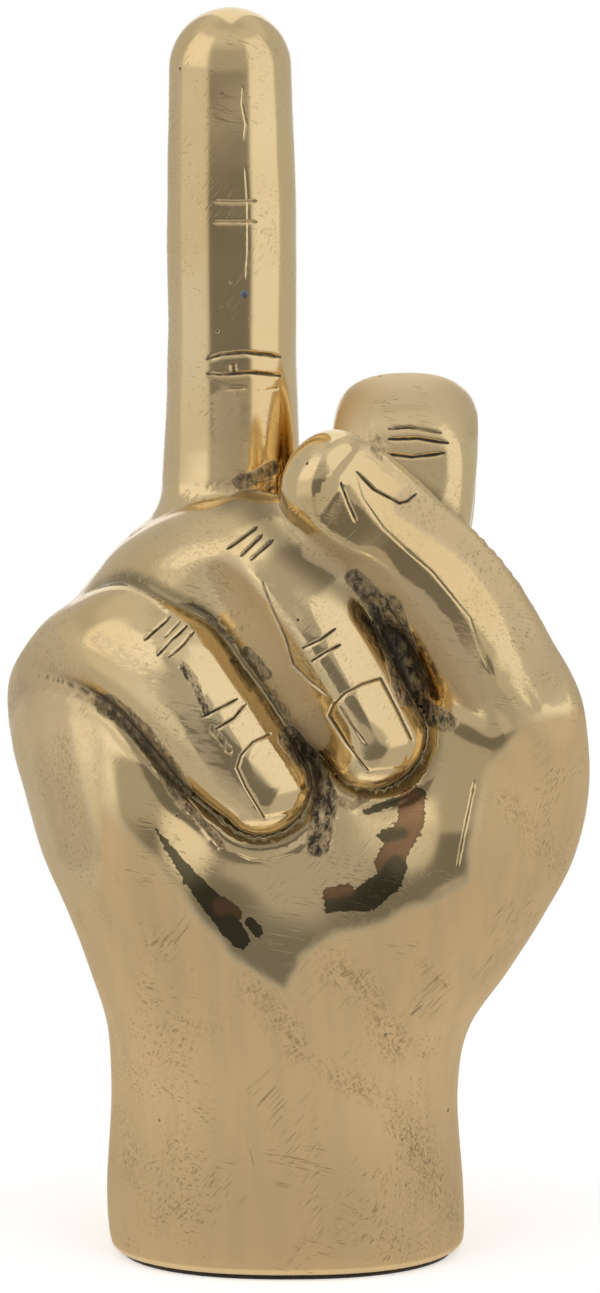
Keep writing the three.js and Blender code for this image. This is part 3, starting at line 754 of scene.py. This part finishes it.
def labels_of(parts):
    """The number of the piece that each point lies nearest to."""
    return np.stack([parts[name] for name in PIECES]).argmin(0)


RIM_CUT = 1.4  # height at which the sculpted skin ends and the rounded rim starts
SPLIT_OVER = 1.35  # how many times the wanted length an edge may have before it is split


def sculpt():
    """The finished skin of the hand: vertices, triangles, normals, labels and the values that the materials read."""
    vertices, triangles = grid_skin()
    vertices = settle(vertices, 2)
    for _ in range(2):
        vertices = settle(relaxed(vertices, triangles), 1)
    for _ in range(5):
        edges, sides = edges_of(triangles)
        middles = vertices[edges].mean(1)
        lengths = np.linalg.norm(vertices[edges[:, 0]] - vertices[edges[:, 1]], axis=1)
        normals = normals_of(vertices, triangles)[edges].mean(1)
        labels = labels_of(distances(vertices))[edges[:, 0]]
        chosen = lengths > wanted_size(middles, labels, facing_of(middles, normals)) * SPLIT_OVER
        if not chosen.any():
            break
        vertices, triangles = split(vertices, triangles, edges, sides, chosen, settle(middles[chosen], 2))
        vertices = settle(relaxed(vertices, triangles, 0.3), 1)
    edges, sides = edges_of(triangles)
    starts, ends = vertices[edges[:, 0]], vertices[edges[:, 1]]
    crossing = (starts[:, 2] > RIM_CUT) != (ends[:, 2] > RIM_CUT)
    share = (RIM_CUT - starts[:, 2]) / np.where(crossing, ends[:, 2] - starts[:, 2], 1)
    cuts = starts + share[:, None] * (ends - starts)
    vertices, triangles = split(vertices, triangles, edges, sides, crossing, cuts[crossing])
    triangles = triangles[vertices[triangles].mean(1)[:, 2] > RIM_CUT]
    used, triangles = np.unique(triangles, return_inverse=True)
    vertices, triangles = vertices[used], triangles.reshape(-1, 3)

    parts = distances(vertices)
    labels = labels_of(parts)
    normals = unit(slope(vertices)[1])
    facing = facing_of(vertices, normals)
    raised, normals = displace(vertices, normals, labels, facing)
    return raised, triangles, normals, labels, surface_values(vertices, parts, labels, facing)


def displace(vertices, normals, labels, facing, reach=0.06):
    """The vertices with the marks cut into them, and the normals tilted to match."""
    side = np.cross(normals, (0.0, 0.0, 1.0))
    side = unit(side + (np.linalg.norm(side, axis=1) < 0.05)[:, None] * np.array([1.0, 0, 0]))
    tilt = np.zeros_like(vertices)
    for axis in (side, np.cross(side, normals)):
        rise = relief(vertices + reach * axis, labels, facing) - relief(vertices - reach * axis, labels, facing)
        tilt += (rise / (2 * reach))[:, None] * axis
    return vertices + relief(vertices, labels, facing)[:, None] * normals, unit(normals - tilt)


def seams(points, parts, rows, inner):
    """How strongly what the seams hold reaches points of the front. Each seam is whole to `inner` of its reach."""
    total = np.zeros(len(points))
    for a, b, reach, strength in rows:
        far = np.maximum(parts[a], parts[b])
        total = np.maximum(total, strength * ramp(-far, -reach, -reach * inner))
    return total * ramp(-points[:, 1], -4, 8)


def surface_values(points, parts, labels, facing):
    """What the materials read at each vertex, from 0 to 1."""
    spots = picture(points)
    front = facing > 0
    # the second holds a brown patina with painted shade in the valleys between pieces
    grime, patina_and_shade = seams(points, parts, DARK_SEAMS, 0.25), seams(points, parts, PATINA_AND_SHADE_PAIRS, 0.3)
    brushed = np.zeros(len(points))
    for depth, wide, on, gap, _ in strokes_on(spots, labels, facing):
        dark = np.clip(2.1 * depth - 0.05 + 0.2 * noise(points[on], 0.9, 15), 0.05, 1)
        grime[on] = np.maximum(grime[on], dark * ramp(-gap, -wide * 1.2, -wide * 0.3))
    for _, grooved, *outline in NAILS:
        gap, _ = line_gap(spots, outline[:2 * grooved + 2])
        grime = np.maximum(grime, 0.75 * ramp(-gap, -1.5, -0.3) * front)
    for piece, rows in BRUSHED.items():
        on = shown(labels, facing, piece)
        brushed[on] = reached(spots[on], rows, 0.5)

    # the wrist, the sides and most of the back were left satin
    upper_left = ramp(-spots[:, 0], -104, -90) * ramp(-spots[:, 1], -960, -820)
    satin = ramp(outline_gap(spots, PALM_POLISH) + 5 * noise(points, 5, 11), -7, 9) * (1 - 0.6 * upper_left)
    satin = satin * ramp(-points[:, 2], -122, -112)
    away = ramp(-facing, -0.5, 0)
    satin = np.maximum(satin, away * ramp(-points[:, 2], -86, -60))
    satin = np.maximum(satin, 0.7 * away * ramp(points[:, 1], 2, 14) * ramp(-points[:, 2], -124, -104))

    behind = ramp(-facing, -0.3, 0) * ramp(noise(points, 14, 12), 0.15, 0.6) * ramp(-points[:, 2], -110, -70)
    tarnish = np.maximum(reached(spots, TARNISH, 0) * front, 0.7 * behind)
    # painted reflections in the hollow, dark and brown, on the front of the palm only
    painted_reflection, brown = (share * (labels == 0) * front for share in painted_reflection_at(spots))
    return {"grime": grime, "casting": roughness_at(spots, facing), "satin": satin, "tarnish": tarnish,
            "brushed": brushed, "painted_reflection": painted_reflection, "brown": brown, "patina_and_shade": patina_and_shade}


# Pieces

def linked(name, points, faces, material):
    """An object in the scene, from points in metres."""
    mesh = bpy.data.meshes.new(name)
    mesh.from_pydata(points, [], faces)
    mesh.materials.append(material)
    made = bpy.data.objects.new(name, mesh)
    bpy.context.collection.objects.link(made)
    return made


def smooth_piece(name, points, faces, material, normals=None, values=None):
    """A smooth object in the scene, from points in millimetres above the rim."""
    made = linked(name, (points + (0, 0, FELT)) * MM, faces, material)
    mesh = made.data
    mesh.polygons.foreach_set("use_smooth", np.ones(len(mesh.polygons), bool))
    for key, value in (values or {}).items():
        attribute = mesh.attributes.new(key, "FLOAT", "POINT")
        attribute.data.foreach_set("value", np.asarray(value, np.float32))
    mesh.update()
    if normals is not None:
        mesh.normals_split_custom_set_from_vertices(normals.tolist())
    return made


def tube(rings):
    """Quads between neighbouring rings, which are rows of vertex numbers."""
    pairs = zip(rings[:-1], rings[1:])
    return np.vstack([np.stack([a, b, np.roll(b, -1), np.roll(a, -1)], 1) for a, b in pairs])


def fan(ring, centre):
    """Triangles between a ring and the number of a point in its middle."""
    return np.stack([np.full(len(ring), centre), ring, np.roll(ring, -1)], 1)


def turned_form(rows, first, last=None):
    """Points and faces of rings in a row, closed by a point at the start, and by one at the end if it is given."""
    rings = 1 + np.arange(len(rows) * len(rows[0])).reshape(len(rows), -1)
    faces = fan(rings[0], 0).tolist() + tube(rings).tolist()
    if last is not None:
        faces += fan(rings[-1][::-1], rings[-1][-1] + 1).tolist()
    return np.vstack([[first], *rows] + ([[last]] if last is not None else [])), faces


def circle(count):
    """The sides' cosines and sines."""
    angle = np.arange(count) / count * 2 * math.pi
    return np.cos(angle), np.sin(angle)


def largest_patches(triangles, faces_of):
    """Gives stray triangles of a piece to the piece around them."""
    _, sides = edges_of(triangles)
    order = np.argsort(sides.ravel(), kind="stable")
    owner = np.repeat(np.arange(len(triangles)), 3)[order]
    same = np.diff(sides.ravel()[order]) == 0
    pairs = np.stack([owner[:-1][same], owner[1:][same]], 1)
    for _ in range(6):
        patch, before = np.arange(len(triangles)), None
        inner = pairs[faces_of[pairs[:, 0]] == faces_of[pairs[:, 1]]]
        while before is None or (patch != before).any():
            before = patch.copy()
            least = patch[inner].min(1)
            for side in (0, 1):
                np.minimum.at(patch, inner[:, side], least)
            patch = patch[patch]
        stray = np.zeros(len(triangles), bool)
        for piece in np.unique(faces_of):
            numbers, sizes = np.unique(patch[faces_of == piece], return_counts=True)
            stray |= (faces_of == piece) & (patch != numbers[sizes.argmax()])
        if not stray.any():
            break
        for a, b in ((0, 1), (1, 0)):
            edge = pairs[stray[pairs[:, a]] & ~stray[pairs[:, b]]]
            faces_of[edge[:, a]] = faces_of[edge[:, b]]
    return faces_of


PALM_INSIDE = (-2.0, 6, 96)
WALL = 5
LEDGE = 2.5  # depth and height of the step for the base plate
EASE = 0.2  # by which its edges are broken
CORE_SIDES, CORE_DOME = 44, 14  # heights of the core's straight part and of its dome


def rim_rows(outline, outward):
    """Rows of points that round the rim under, step up for the base plate and line the cored wrist."""
    plan = [(RIM_CUT * (1 - math.cos(a)), RIM_CUT * (1 - math.sin(a))) for a in np.linspace(0, math.pi / 2, 7)[1:]]
    plan += [(LEDGE, 0), (LEDGE, EASE), (LEDGE, LEDGE), (LEDGE + EASE, LEDGE), (WALL - EASE, LEDGE)]
    plan += [(WALL, height) for height in (LEDGE + EASE, 12, 24, 36, CORE_SIDES)]
    centre = outline.mean(0)
    rows = [np.column_stack([(outline - outward * inset)[:, :2], np.full(len(outline), height)])
            for inset, height in plan]
    for climb in np.linspace(0.15, 0.97, 7):
        row = centre + (outline - outward * WALL - centre) * math.sqrt(1 - climb ** 2)
        row[:, 2] = CORE_SIDES + CORE_DOME * climb
        rows.append(row)
    return rows


def castings(material):
    """The six castings, each a closed piece cut from the one sculpted skin."""
    vertices, triangles, normals, labels, values = sculpt()
    faces_of = np.array([np.bincount(row, minlength=len(PIECES)).argmax() for row in labels[triangles]])
    faces_of = largest_patches(triangles, faces_of)
    rim = np.flatnonzero(np.abs(vertices[:, 2] - RIM_CUT) < 0.02)
    made = {}
    for piece, name in enumerate(PIECES):
        # each open edge but the rim's is carried to one point inside the piece, which closes it
        faces = triangles[faces_of == piece]
        sides = faces[:, [[0, 1], [1, 2], [2, 0]]].reshape(-1, 2)
        top = len(vertices)
        edges = sides[~np.isin(sides @ [top, 1], sides @ [1, top])]
        edges = edges[~np.isin(edges, rim).all(1)]
        faces = np.vstack([faces, np.column_stack([edges[:, ::-1], np.full(len(edges), top)])])
        points = np.vstack([vertices, LIMBS[name].line[0] if piece else PALM_INSIDE])
        directions = np.vstack([normals, [[0, 0, -1.0]]])
        data = {key: np.append(value, 0.0) for key, value in values.items()}
        if piece == 0:
            order = rim[np.argsort(np.arctan2(vertices[rim, 1], vertices[rim, 0]))]
            rows = rim_rows(vertices[order], unit(normals[order] * (1, 1, 0)))
            rings = [order, *(len(points) + np.arange(len(rows) * len(order))).reshape(len(rows), -1)]
            points = np.vstack([points, *rows, rows[-1].mean(0)])
            last = fan(rings[-1][::-1], len(points) - 1)
            faces = np.vstack([faces, halved(tube(rings)), last])
            grown = len(points) - len(directions)
            directions = np.vstack([directions, np.zeros((grown, 3))])
            data = {key: np.append(value, np.full(grown, 0.6 if key == "satin" else 0.0))
                    for key, value in data.items()}
        used, faces = np.unique(faces, return_inverse=True)
        made[name] = smooth_piece(name + "_skin", points[used], faces.reshape(-1, 3).tolist(), material,
                                  directions[used], {key: value[used] for key, value in data.items()})
    return made


def rim_outline(inset, height, count=200):
    """Points round the rim of the wrist, drawn in by `inset`."""
    left, right, front, back = HAND_SECTIONS[0, 1:]
    across, deep = (np.sign(value) * np.abs(value) ** (2 / SECTION_POWER) for value in circle(count))
    x = (right - left) / 2 + across * ((right + left) / 2 - inset)
    y = deep * (np.where(deep < 0, front, back) - inset)
    return np.stack([x, y, np.full(count, float(height))], 1)


# inset and height of each ring of the felt
FELT_PLAN = [(1.9, 0), (1.4, -0.05), (1.2, -0.35), (1.2, -0.7), (1.4, -0.95), (1.9, -1)]


def felt_pad():
    """The felt, with a soft rounded edge."""
    rows = [rim_outline(inset, height) for inset, height in FELT_PLAN]
    for row in rows:
        row[:, :2] *= 1 + 0.0015 * noise(row + 7, 0.9, 9)[:, None]
    return smooth_piece("felt_pad_soft", *turned_form(rows, (0, 0, 0), (0, 0, -1)), felt())


PIN_X, PIN_HEIGHT = -7.2, 166.6
PIN_FRONT, PIN_BACK = -2.63, 4.8
# radius and depth of each ring of the pin, from the dressed end inwards
PIN_PLAN = [(0.25, -2.62), (0.5, -2.6), (0.66, -2.54), (0.72, -2.42), (0.72, 0.5), (0.72, 4.4), (0.4, PIN_BACK)]


def core_pin():
    """The end of the steel pin, dressed flush with the finger, and its shank."""
    x, z = circle(24)
    rows = [np.stack([PIN_X + size * x, np.full(24, depth), PIN_HEIGHT + size * z], 1) for size, depth in PIN_PLAN]
    ends = ((PIN_X, depth, PIN_HEIGHT) for depth in (PIN_FRONT, PIN_BACK))
    return smooth_piece("core_pin_end", *turned_form(rows, *ends), steel())


# Materials

class Graph:
    """The nodes of a material or a world, made by short calls."""

    def __init__(self, owner, output="OutputMaterial"):
        owner.use_nodes = True
        self.owner, self.tree = owner, owner.node_tree
        self.tree.nodes.clear()
        self.output = self.node(output)

    def node(self, kind, inputs=None, **settings):
        made = self.tree.nodes.new("ShaderNode" + kind)
        for key, value in settings.items():
            setattr(made, key, value)
        for key, value in (inputs or {}).items():
            self.put(made.inputs[key], value)
        return made

    def put(self, socket, value):
        if isinstance(value, bpy.types.NodeSocket):
            self.tree.links.new(value, socket)
        elif isinstance(value, tuple) and len(value) == 3 and socket.type == "RGBA":
            socket.default_value = (*value, 1)
        else:
            socket.default_value = value

    def math(self, operation, *values, clamp=False):
        made = reduce(lambda a, b: self.node("Math", {0: a, 1: b}, operation=operation).outputs[0], values)
        made.node.use_clamp = clamp
        return made

    def times(self, *values, clamp=False):
        return self.math("MULTIPLY", *values, clamp=clamp)

    def plus(self, *values):
        return self.math("ADD", *values)

    def most(self, *values, clamp=False):
        return self.math("MAXIMUM", *values, clamp=clamp)

    def mix(self, share, a, b, kind="RGBA"):
        made = self.node("Mix", data_type=kind)
        for key, value in (("Factor", share), ("A", a), ("B", b)):
            self.put(made.inputs[key], value)
        return made.outputs["Result"]

    def attribute(self, name):
        return self.node("Attribute", attribute_name=name).outputs["Fac"]

    def place(self, scale=(1, 1, 1), turn=(0, 0, 0)):
        """The place on the object, in metres, stretched and turned."""
        coordinates = self.node("TexCoord").outputs["Object"]
        return self.node("Mapping", {"Vector": coordinates, "Scale": scale, "Rotation": turn}).outputs[0]

    def noise(self, scale, detail=2.0, rough=0.5, vector=None):
        inputs = {"Vector": vector or self.place(), "Scale": scale, "Detail": detail, "Roughness": rough}
        return self.node("TexNoise", inputs).outputs[0]

    def hairs(self, turn, scale, length, low, high):
        """Fine lines that lie along one direction, which `turn` sets in degrees."""
        turned = self.place(turn=tuple(math.radians(angle) for angle in turn))
        drawn = self.node("Mapping", {"Vector": turned, "Scale": (1, 1, 1 / length)}).outputs[0]
        return self.range(self.noise(scale, 2, 0.55, drawn), low, high)

    def range(self, *inputs):
        """A value, its low and high end, and what these become if it isn't 0 and 1, with a smooth run between."""
        return self.node("MapRange", dict(enumerate(inputs)), interpolation_type="SMOOTHSTEP").outputs[0]

    def bump(self, height, distance, strength):
        return self.node("Bump", {"Height": height, "Distance": distance, "Strength": strength}).outputs[0]

    def finish(self, shader):
        self.tree.links.new(shader.outputs[0], self.output.inputs["Surface"])
        return self.owner


BRASS = (0.87, 0.685, 0.395)
BRASS_WORN = (0.80, 0.60, 0.31)
SATIN = (0.88, 0.68, 0.395)
# the satin is painted darker towards the rim, as painted shade
SATIN_PAINTED_SHADE = (0.66, 0.505, 0.29)  # towards the rim
SATIN_STREAK = (0.42, 0.36, 0.23)
TARNISH_TONE = (0.26, 0.18, 0.09)
MARK_TONE = (0.30, 0.23, 0.12)
OXIDE = (0.055, 0.042, 0.03)
# a brown patina with painted shade, for the valleys between pieces
PATINA_AND_SHADE_TONE = (0.25, 0.2, 0.11)
BRUSHED_TONE = (0.74, 0.58, 0.35)
# colours of the painted reflections in the hollow, dark and brown
REFLECTION_DARK = (0.075, 0.065, 0.035)
REFLECTION_BROWN = (0.26, 0.13, 0.065)


def polished_brass():
    """Hand-polished brass: satin at the wrist, with scratches, pits, tarnish and oxide in the seams, a brown patina
    with painted shade in the valleys between pieces, painted shade towards the rim, and painted reflections in the
    hollow.
    """
    g = Graph(bpy.data.materials.new("polished_brass"))
    satin, raw = g.attribute("satin"), g.attribute("casting")
    ragged = g.times(g.math("SUBTRACT", g.noise(430, 4, 0.65), 0.5), 1.1)
    casting = g.times(g.range(g.plus(raw, ragged), 0.25, 0.5), g.range(raw, 0.0, 0.25))

    # the file's strokes frame the brushed places with edges like hair
    strokes = g.most(g.hairs((0, 78, 0), 1500, 9, 0.3, 0.7), g.hairs((0, 50, 0), 1500, 9, 0.45, 0.85))
    reach = g.math("SUBTRACT", g.times(strokes, 0.45), 0.45)
    brushed = g.attribute("brushed")
    brushed = g.times(g.range(g.plus(brushed, reach), 0.08, 0.3), brushed)

    # a net of tarnish left between the polishing marks
    net = g.times(g.hairs((0, 24, 0), 2300, 3, 0.4, 0.6), g.hairs((0, -58, 0), 2300, 3, 0.38, 0.58))
    patches = g.plus(g.attribute("tarnish"), g.range(g.noise(42, 3), 0.55, 0.75, 0.0, 0.35))
    patches = g.times(patches, g.range(g.noise(210, 3), 0.3, 0.6, 0.35, 1.0))
    tarnish = g.times(patches, net, clamp=True)

    # dressing marks in patches: hair lines that run across the digits and up the wrist
    marks = g.times(g.hairs((0, 78, 0), 2600, 16, 0.56, 0.7), g.range(g.noise(75, 2), 0.5, 0.62))
    more = g.times(g.hairs((0, -42, 10), 2600, 14, 0.56, 0.7),
                   g.range(g.noise(62, 2, vector=g.place((1.3, 1, 1))), 0.5, 0.62))
    marks = g.most(marks, more)
    upright = g.hairs((0, 4, 0), 260, 9, 0.35, 0.7)

    pits = g.node("TexVoronoi", {"Vector": g.place(), "Scale": 260.0, "Randomness": 1.0}, feature="F1")
    rare = g.range(g.noise(120, 2), 0.58, 0.66)
    pit = g.times(g.range(pits.outputs["Distance"], 0.04, 0.11, 1.0, 0.0), rare)

    cast = g.range(g.noise(900, 4, 0.75, g.place((1, 1, 0.5))), 0.38, 0.6, 0.25, 1.0)
    cast = g.times(casting, cast, g.range(raw, 0.2, 0.9, 0.5, 1.0))
    dark = g.most(g.range(g.attribute("grime"), 0.1, 0.85), cast, pit, clamp=True)
    level = g.node("SeparateXYZ", {0: g.place()}).outputs[2]
    tone = g.mix(g.range(g.noise(26, 4), 0.35, 0.7), BRASS, BRASS_WORN)
    for share, over in (
        # brown patina with painted shade in the valleys between pieces
        (g.times(g.attribute("patina_and_shade"), 0.85), PATINA_AND_SHADE_TONE),
        # satin, with painted shade that darkens it towards the rim
        (satin, g.mix(g.range(level, 0.0, 0.036), SATIN_PAINTED_SHADE, SATIN)),
        (brushed, BRUSHED_TONE),
        (g.times(satin, upright, 0.12), SATIN_STREAK),
        (g.times(tarnish, 0.5), TARNISH_TONE),
        (g.times(marks, 0.4), MARK_TONE),
        # painted reflections in the hollow, with hair-like edges
        (g.times(g.range(g.plus(g.attribute("painted_reflection"), reach), 0.1, 0.32), 0.9),
         g.mix(g.attribute("brown"), REFLECTION_DARK, REFLECTION_BROWN)),
        (dark, OXIDE),
    ):
        tone = g.mix(share, tone, over)

    rough = g.mix(g.most(satin, g.times(brushed, 0.85)), 0.1, 0.7, "FLOAT")
    for value, share in ((g.noise(140, 3), 0.05), (marks, 0.12), (tarnish, 0.2), (casting, 0.25)):
        rough = g.plus(rough, g.times(value, share))

    height = g.plus(g.times(marks, -0.25), g.times(tarnish, -0.25), g.times(pit, -2.0),
                    g.times(g.noise(1100, 3, 0.6), g.range(casting, 0.05, 0.8, 0.03, 2.2)))
    return g.finish(g.node("BsdfPrincipled", {
        "Base Color": tone,
        "Metallic": g.mix(dark, 1.0, 0.45, "FLOAT"),
        "Roughness": g.mix(dark, rough, 0.62, "FLOAT"),
        "Normal": g.bump(height, 0.00008, 0.6),
    }))


def plain_surface(g, tone, height, distance, strength, rough, **more):
    """A surface whose bumps also set its roughness, between two values."""
    return g.finish(g.node("BsdfPrincipled", {
        "Base Color": tone, "Roughness": g.range(height, 0.3, 0.7, *rough),
        "Normal": g.bump(height, distance, strength), **more,
    }))


def plain_brass():
    """Turned and sheared brass that nobody sees: dull, with fine tool lines."""
    g = Graph(bpy.data.materials.new("plain_brass"))
    tone = g.mix(g.range(g.noise(60, 3), 0.35, 0.7), (0.62, 0.46, 0.22), (0.48, 0.34, 0.16))
    return plain_surface(g, tone, g.noise(160, 4, 0.7, g.place((1, 18, 1))), 0.00006, 0.5, (0.3, 0.5), Metallic=1.0)


def steel():
    """Bare steel with a blue-grey film and fine turning marks."""
    g = Graph(bpy.data.materials.new("steel"))
    tone = g.mix(g.noise(700, 3), (0.16, 0.19, 0.24), (0.30, 0.33, 0.38))
    return plain_surface(g, tone, g.noise(900, 3, 0.6, g.place((1, 1, 5))), 0.00004, 0.5, (0.28, 0.45), Metallic=1.0)


def felt():
    """Dark pressed wool felt."""
    g = Graph(bpy.data.materials.new("felt"))
    fibres = g.noise(2200, 5, 0.7)
    tone = g.mix(g.range(fibres, 0.3, 0.7), (0.018, 0.014, 0.011), (0.06, 0.05, 0.04))
    return plain_surface(g, tone, fibres, 0.0003, 0.9, (0.85, 1.0), **{"Sheen Weight": 0.4})


# Studio

SHELL_RADIUS = 2.2  # metres
SHELL_CENTRE = 0.13  # height of its centre
SHELL_OPENING = 162  # degrees from the front to the opening, behind the object, that shows the white backdrop
SHELL_LOW, SHELL_HIGH = -80, 89.5  # degrees
SHELL_TURNS, SHELL_ROWS = 96, 40

# Light of the studio all round: azimuth from the front and elevation, in degrees, then strength and softness
PANELS = [
    (-400, 400, 46, 76, 0.66, 16),  # ceiling
    (-27, 23, -100, 36, 0.45, 8),  # wall above the dark doorway in front
    (-92, -30, 4, 58, 0.98, 12),  # softbox on the left
    (-92, -30, -22, 4, 0.72, 12),  # and the table under it
    (24, 82, -10, 56, 0.9, 6),  # softbox on the right
    (-27, 21, -26, 1, 0.19, 4),  # the doorway
]
WALL_STRENGTH = 0.54
FLOOR_RADIUS = 0.08  # metres
FLOOR_LIFT = 0.42


def studio_shell():
    """Soft panels all round the object, which light it and show in the metal, but not to the camera."""
    g = Graph(bpy.data.materials.new("studio_panels"))
    x, y, z = g.node("SeparateXYZ", {0: g.node("TexCoord").outputs["Object"]}).outputs
    azimuth = g.times(g.math("ARCTAN2", x, g.times(y, -1.0)), 180 / math.pi)
    level = g.node("Math", {0: g.plus(g.times(x, x), g.times(y, y))}, operation="SQRT").outputs[0]
    height = g.times(g.math("ARCTAN2", z, level), 180 / math.pi)

    def band(value, low, high, soft):
        rise = g.range(value, low - soft / 2, low + soft / 2)
        return g.times(rise, g.range(value, high - soft / 2, high + soft / 2, 1.0, 0.0))

    strength = WALL_STRENGTH
    for left, right, low, high, light, soft in PANELS:
        inside = g.times(band(azimuth, left, right, soft), band(height, low, high, soft))
        strength = g.mix(inside, strength, light, "FLOAT")
    material = g.finish(g.node("Emission", {"Color": (1.0, 0.99, 0.97), "Strength": strength}))

    up = np.radians(np.linspace(SHELL_LOW, SHELL_HIGH, SHELL_ROWS))[:, None]
    around = np.radians(SHELL_OPENING * np.linspace(-1, 1, SHELL_TURNS + 1))
    x, y, z = np.cos(up) * np.sin(around), -np.cos(up) * np.cos(around), np.sin(up) + 0 * around
    number = np.arange(x.size).reshape(x.shape)
    faces = np.stack([number[:-1, :-1], number[:-1, 1:], number[1:, 1:], number[1:, :-1]], -1)
    points = SHELL_RADIUS * np.stack([x, y, z], -1)
    shell = linked("studio_panels", points.reshape(-1, 3), faces.reshape(-1, 4).tolist(), material)
    shell.location.z = SHELL_CENTRE
    shell.visible_camera = False


def seen(g):
    """1 for what the camera sees, straight or in metal and glass."""
    path = g.node("LightPath").outputs
    return g.most(path["Is Camera Ray"], path["Is Glossy Ray"], path["Is Transmission Ray"])


def studio_floor():
    """A white floor that holds the shadow and fades out into the white behind it."""
    g = Graph(bpy.data.materials.new("floor"))
    tone = g.mix(g.noise(900, 3), (0.93, 0.93, 0.93), (0.97, 0.97, 0.97))
    diffuse = g.node("BsdfDiffuse", {"Color": tone, "Roughness": 0.9})
    lift = g.node("Emission", {"Color": (1, 1, 1), "Strength": g.times(seen(g), FLOOR_LIFT)})
    both = g.node("AddShader", {0: diffuse.outputs[0], 1: lift.outputs[0]})
    away = g.node("VectorMath", {0: g.node("TexCoord").outputs["Object"]}, operation="LENGTH").outputs["Value"]
    fade = g.range(away, FLOOR_RADIUS * 0.55, FLOOR_RADIUS * 0.98)
    clear = g.node("BsdfTransparent")
    material = g.finish(g.node("MixShader", {0: fade, 1: both.outputs[0], 2: clear.outputs[0]}))
    ring = FLOOR_RADIUS * np.column_stack([*circle(64), np.zeros(64)])
    floor = linked("floor", *turned_form([share * ring for share in (0.4, 0.7, 1)], (0, 0, 0)), material)


def white_world():
    world = bpy.data.worlds.new("studio")
    bpy.context.scene.world = world
    g = Graph(world, "OutputWorld")
    g.finish(g.node("Background", {"Color": (1, 1, 1), "Strength": g.range(seen(g), 0.0, 1.0, 0.7, 1.0)}))


def camera():
    data = bpy.data.cameras.new("camera")
    data.sensor_width = 36.0
    data.lens = FOCAL_PIXELS / max(PICTURE) * data.sensor_width
    data.clip_end = 20
    made = bpy.data.objects.new("camera", data)
    made.location = (view_from + (0, 0, FELT)) * MM
    made.rotation_euler = (math.pi / 2 - VIEW_TILT, 0, 0)
    bpy.context.collection.objects.link(made)
    bpy.context.scene.camera = made
    bpy.context.scene.view_settings.view_transform = "Standard"


# Assembly

camera()
white_world()
studio_shell()
studio_floor()

for node, piece in castings(polished_brass()).items():
    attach(piece, "root")
    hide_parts(node)

pad = felt_pad()
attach(pad, "root")
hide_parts("felt_pad")

pin = core_pin()
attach(pin, "root")
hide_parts("core_pin")

dull, bare_steel = plain_brass(), bpy.data.materials["steel"]
for name, material in (("finger_rod", dull), ("base_plate", dull), ("base_screw_1", bare_steel),
                       ("base_screw_2", bare_steel), ("base_screw_3", bare_steel)):
    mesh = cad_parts[name].data
    mesh.materials.clear()
    mesh.materials.append(material)
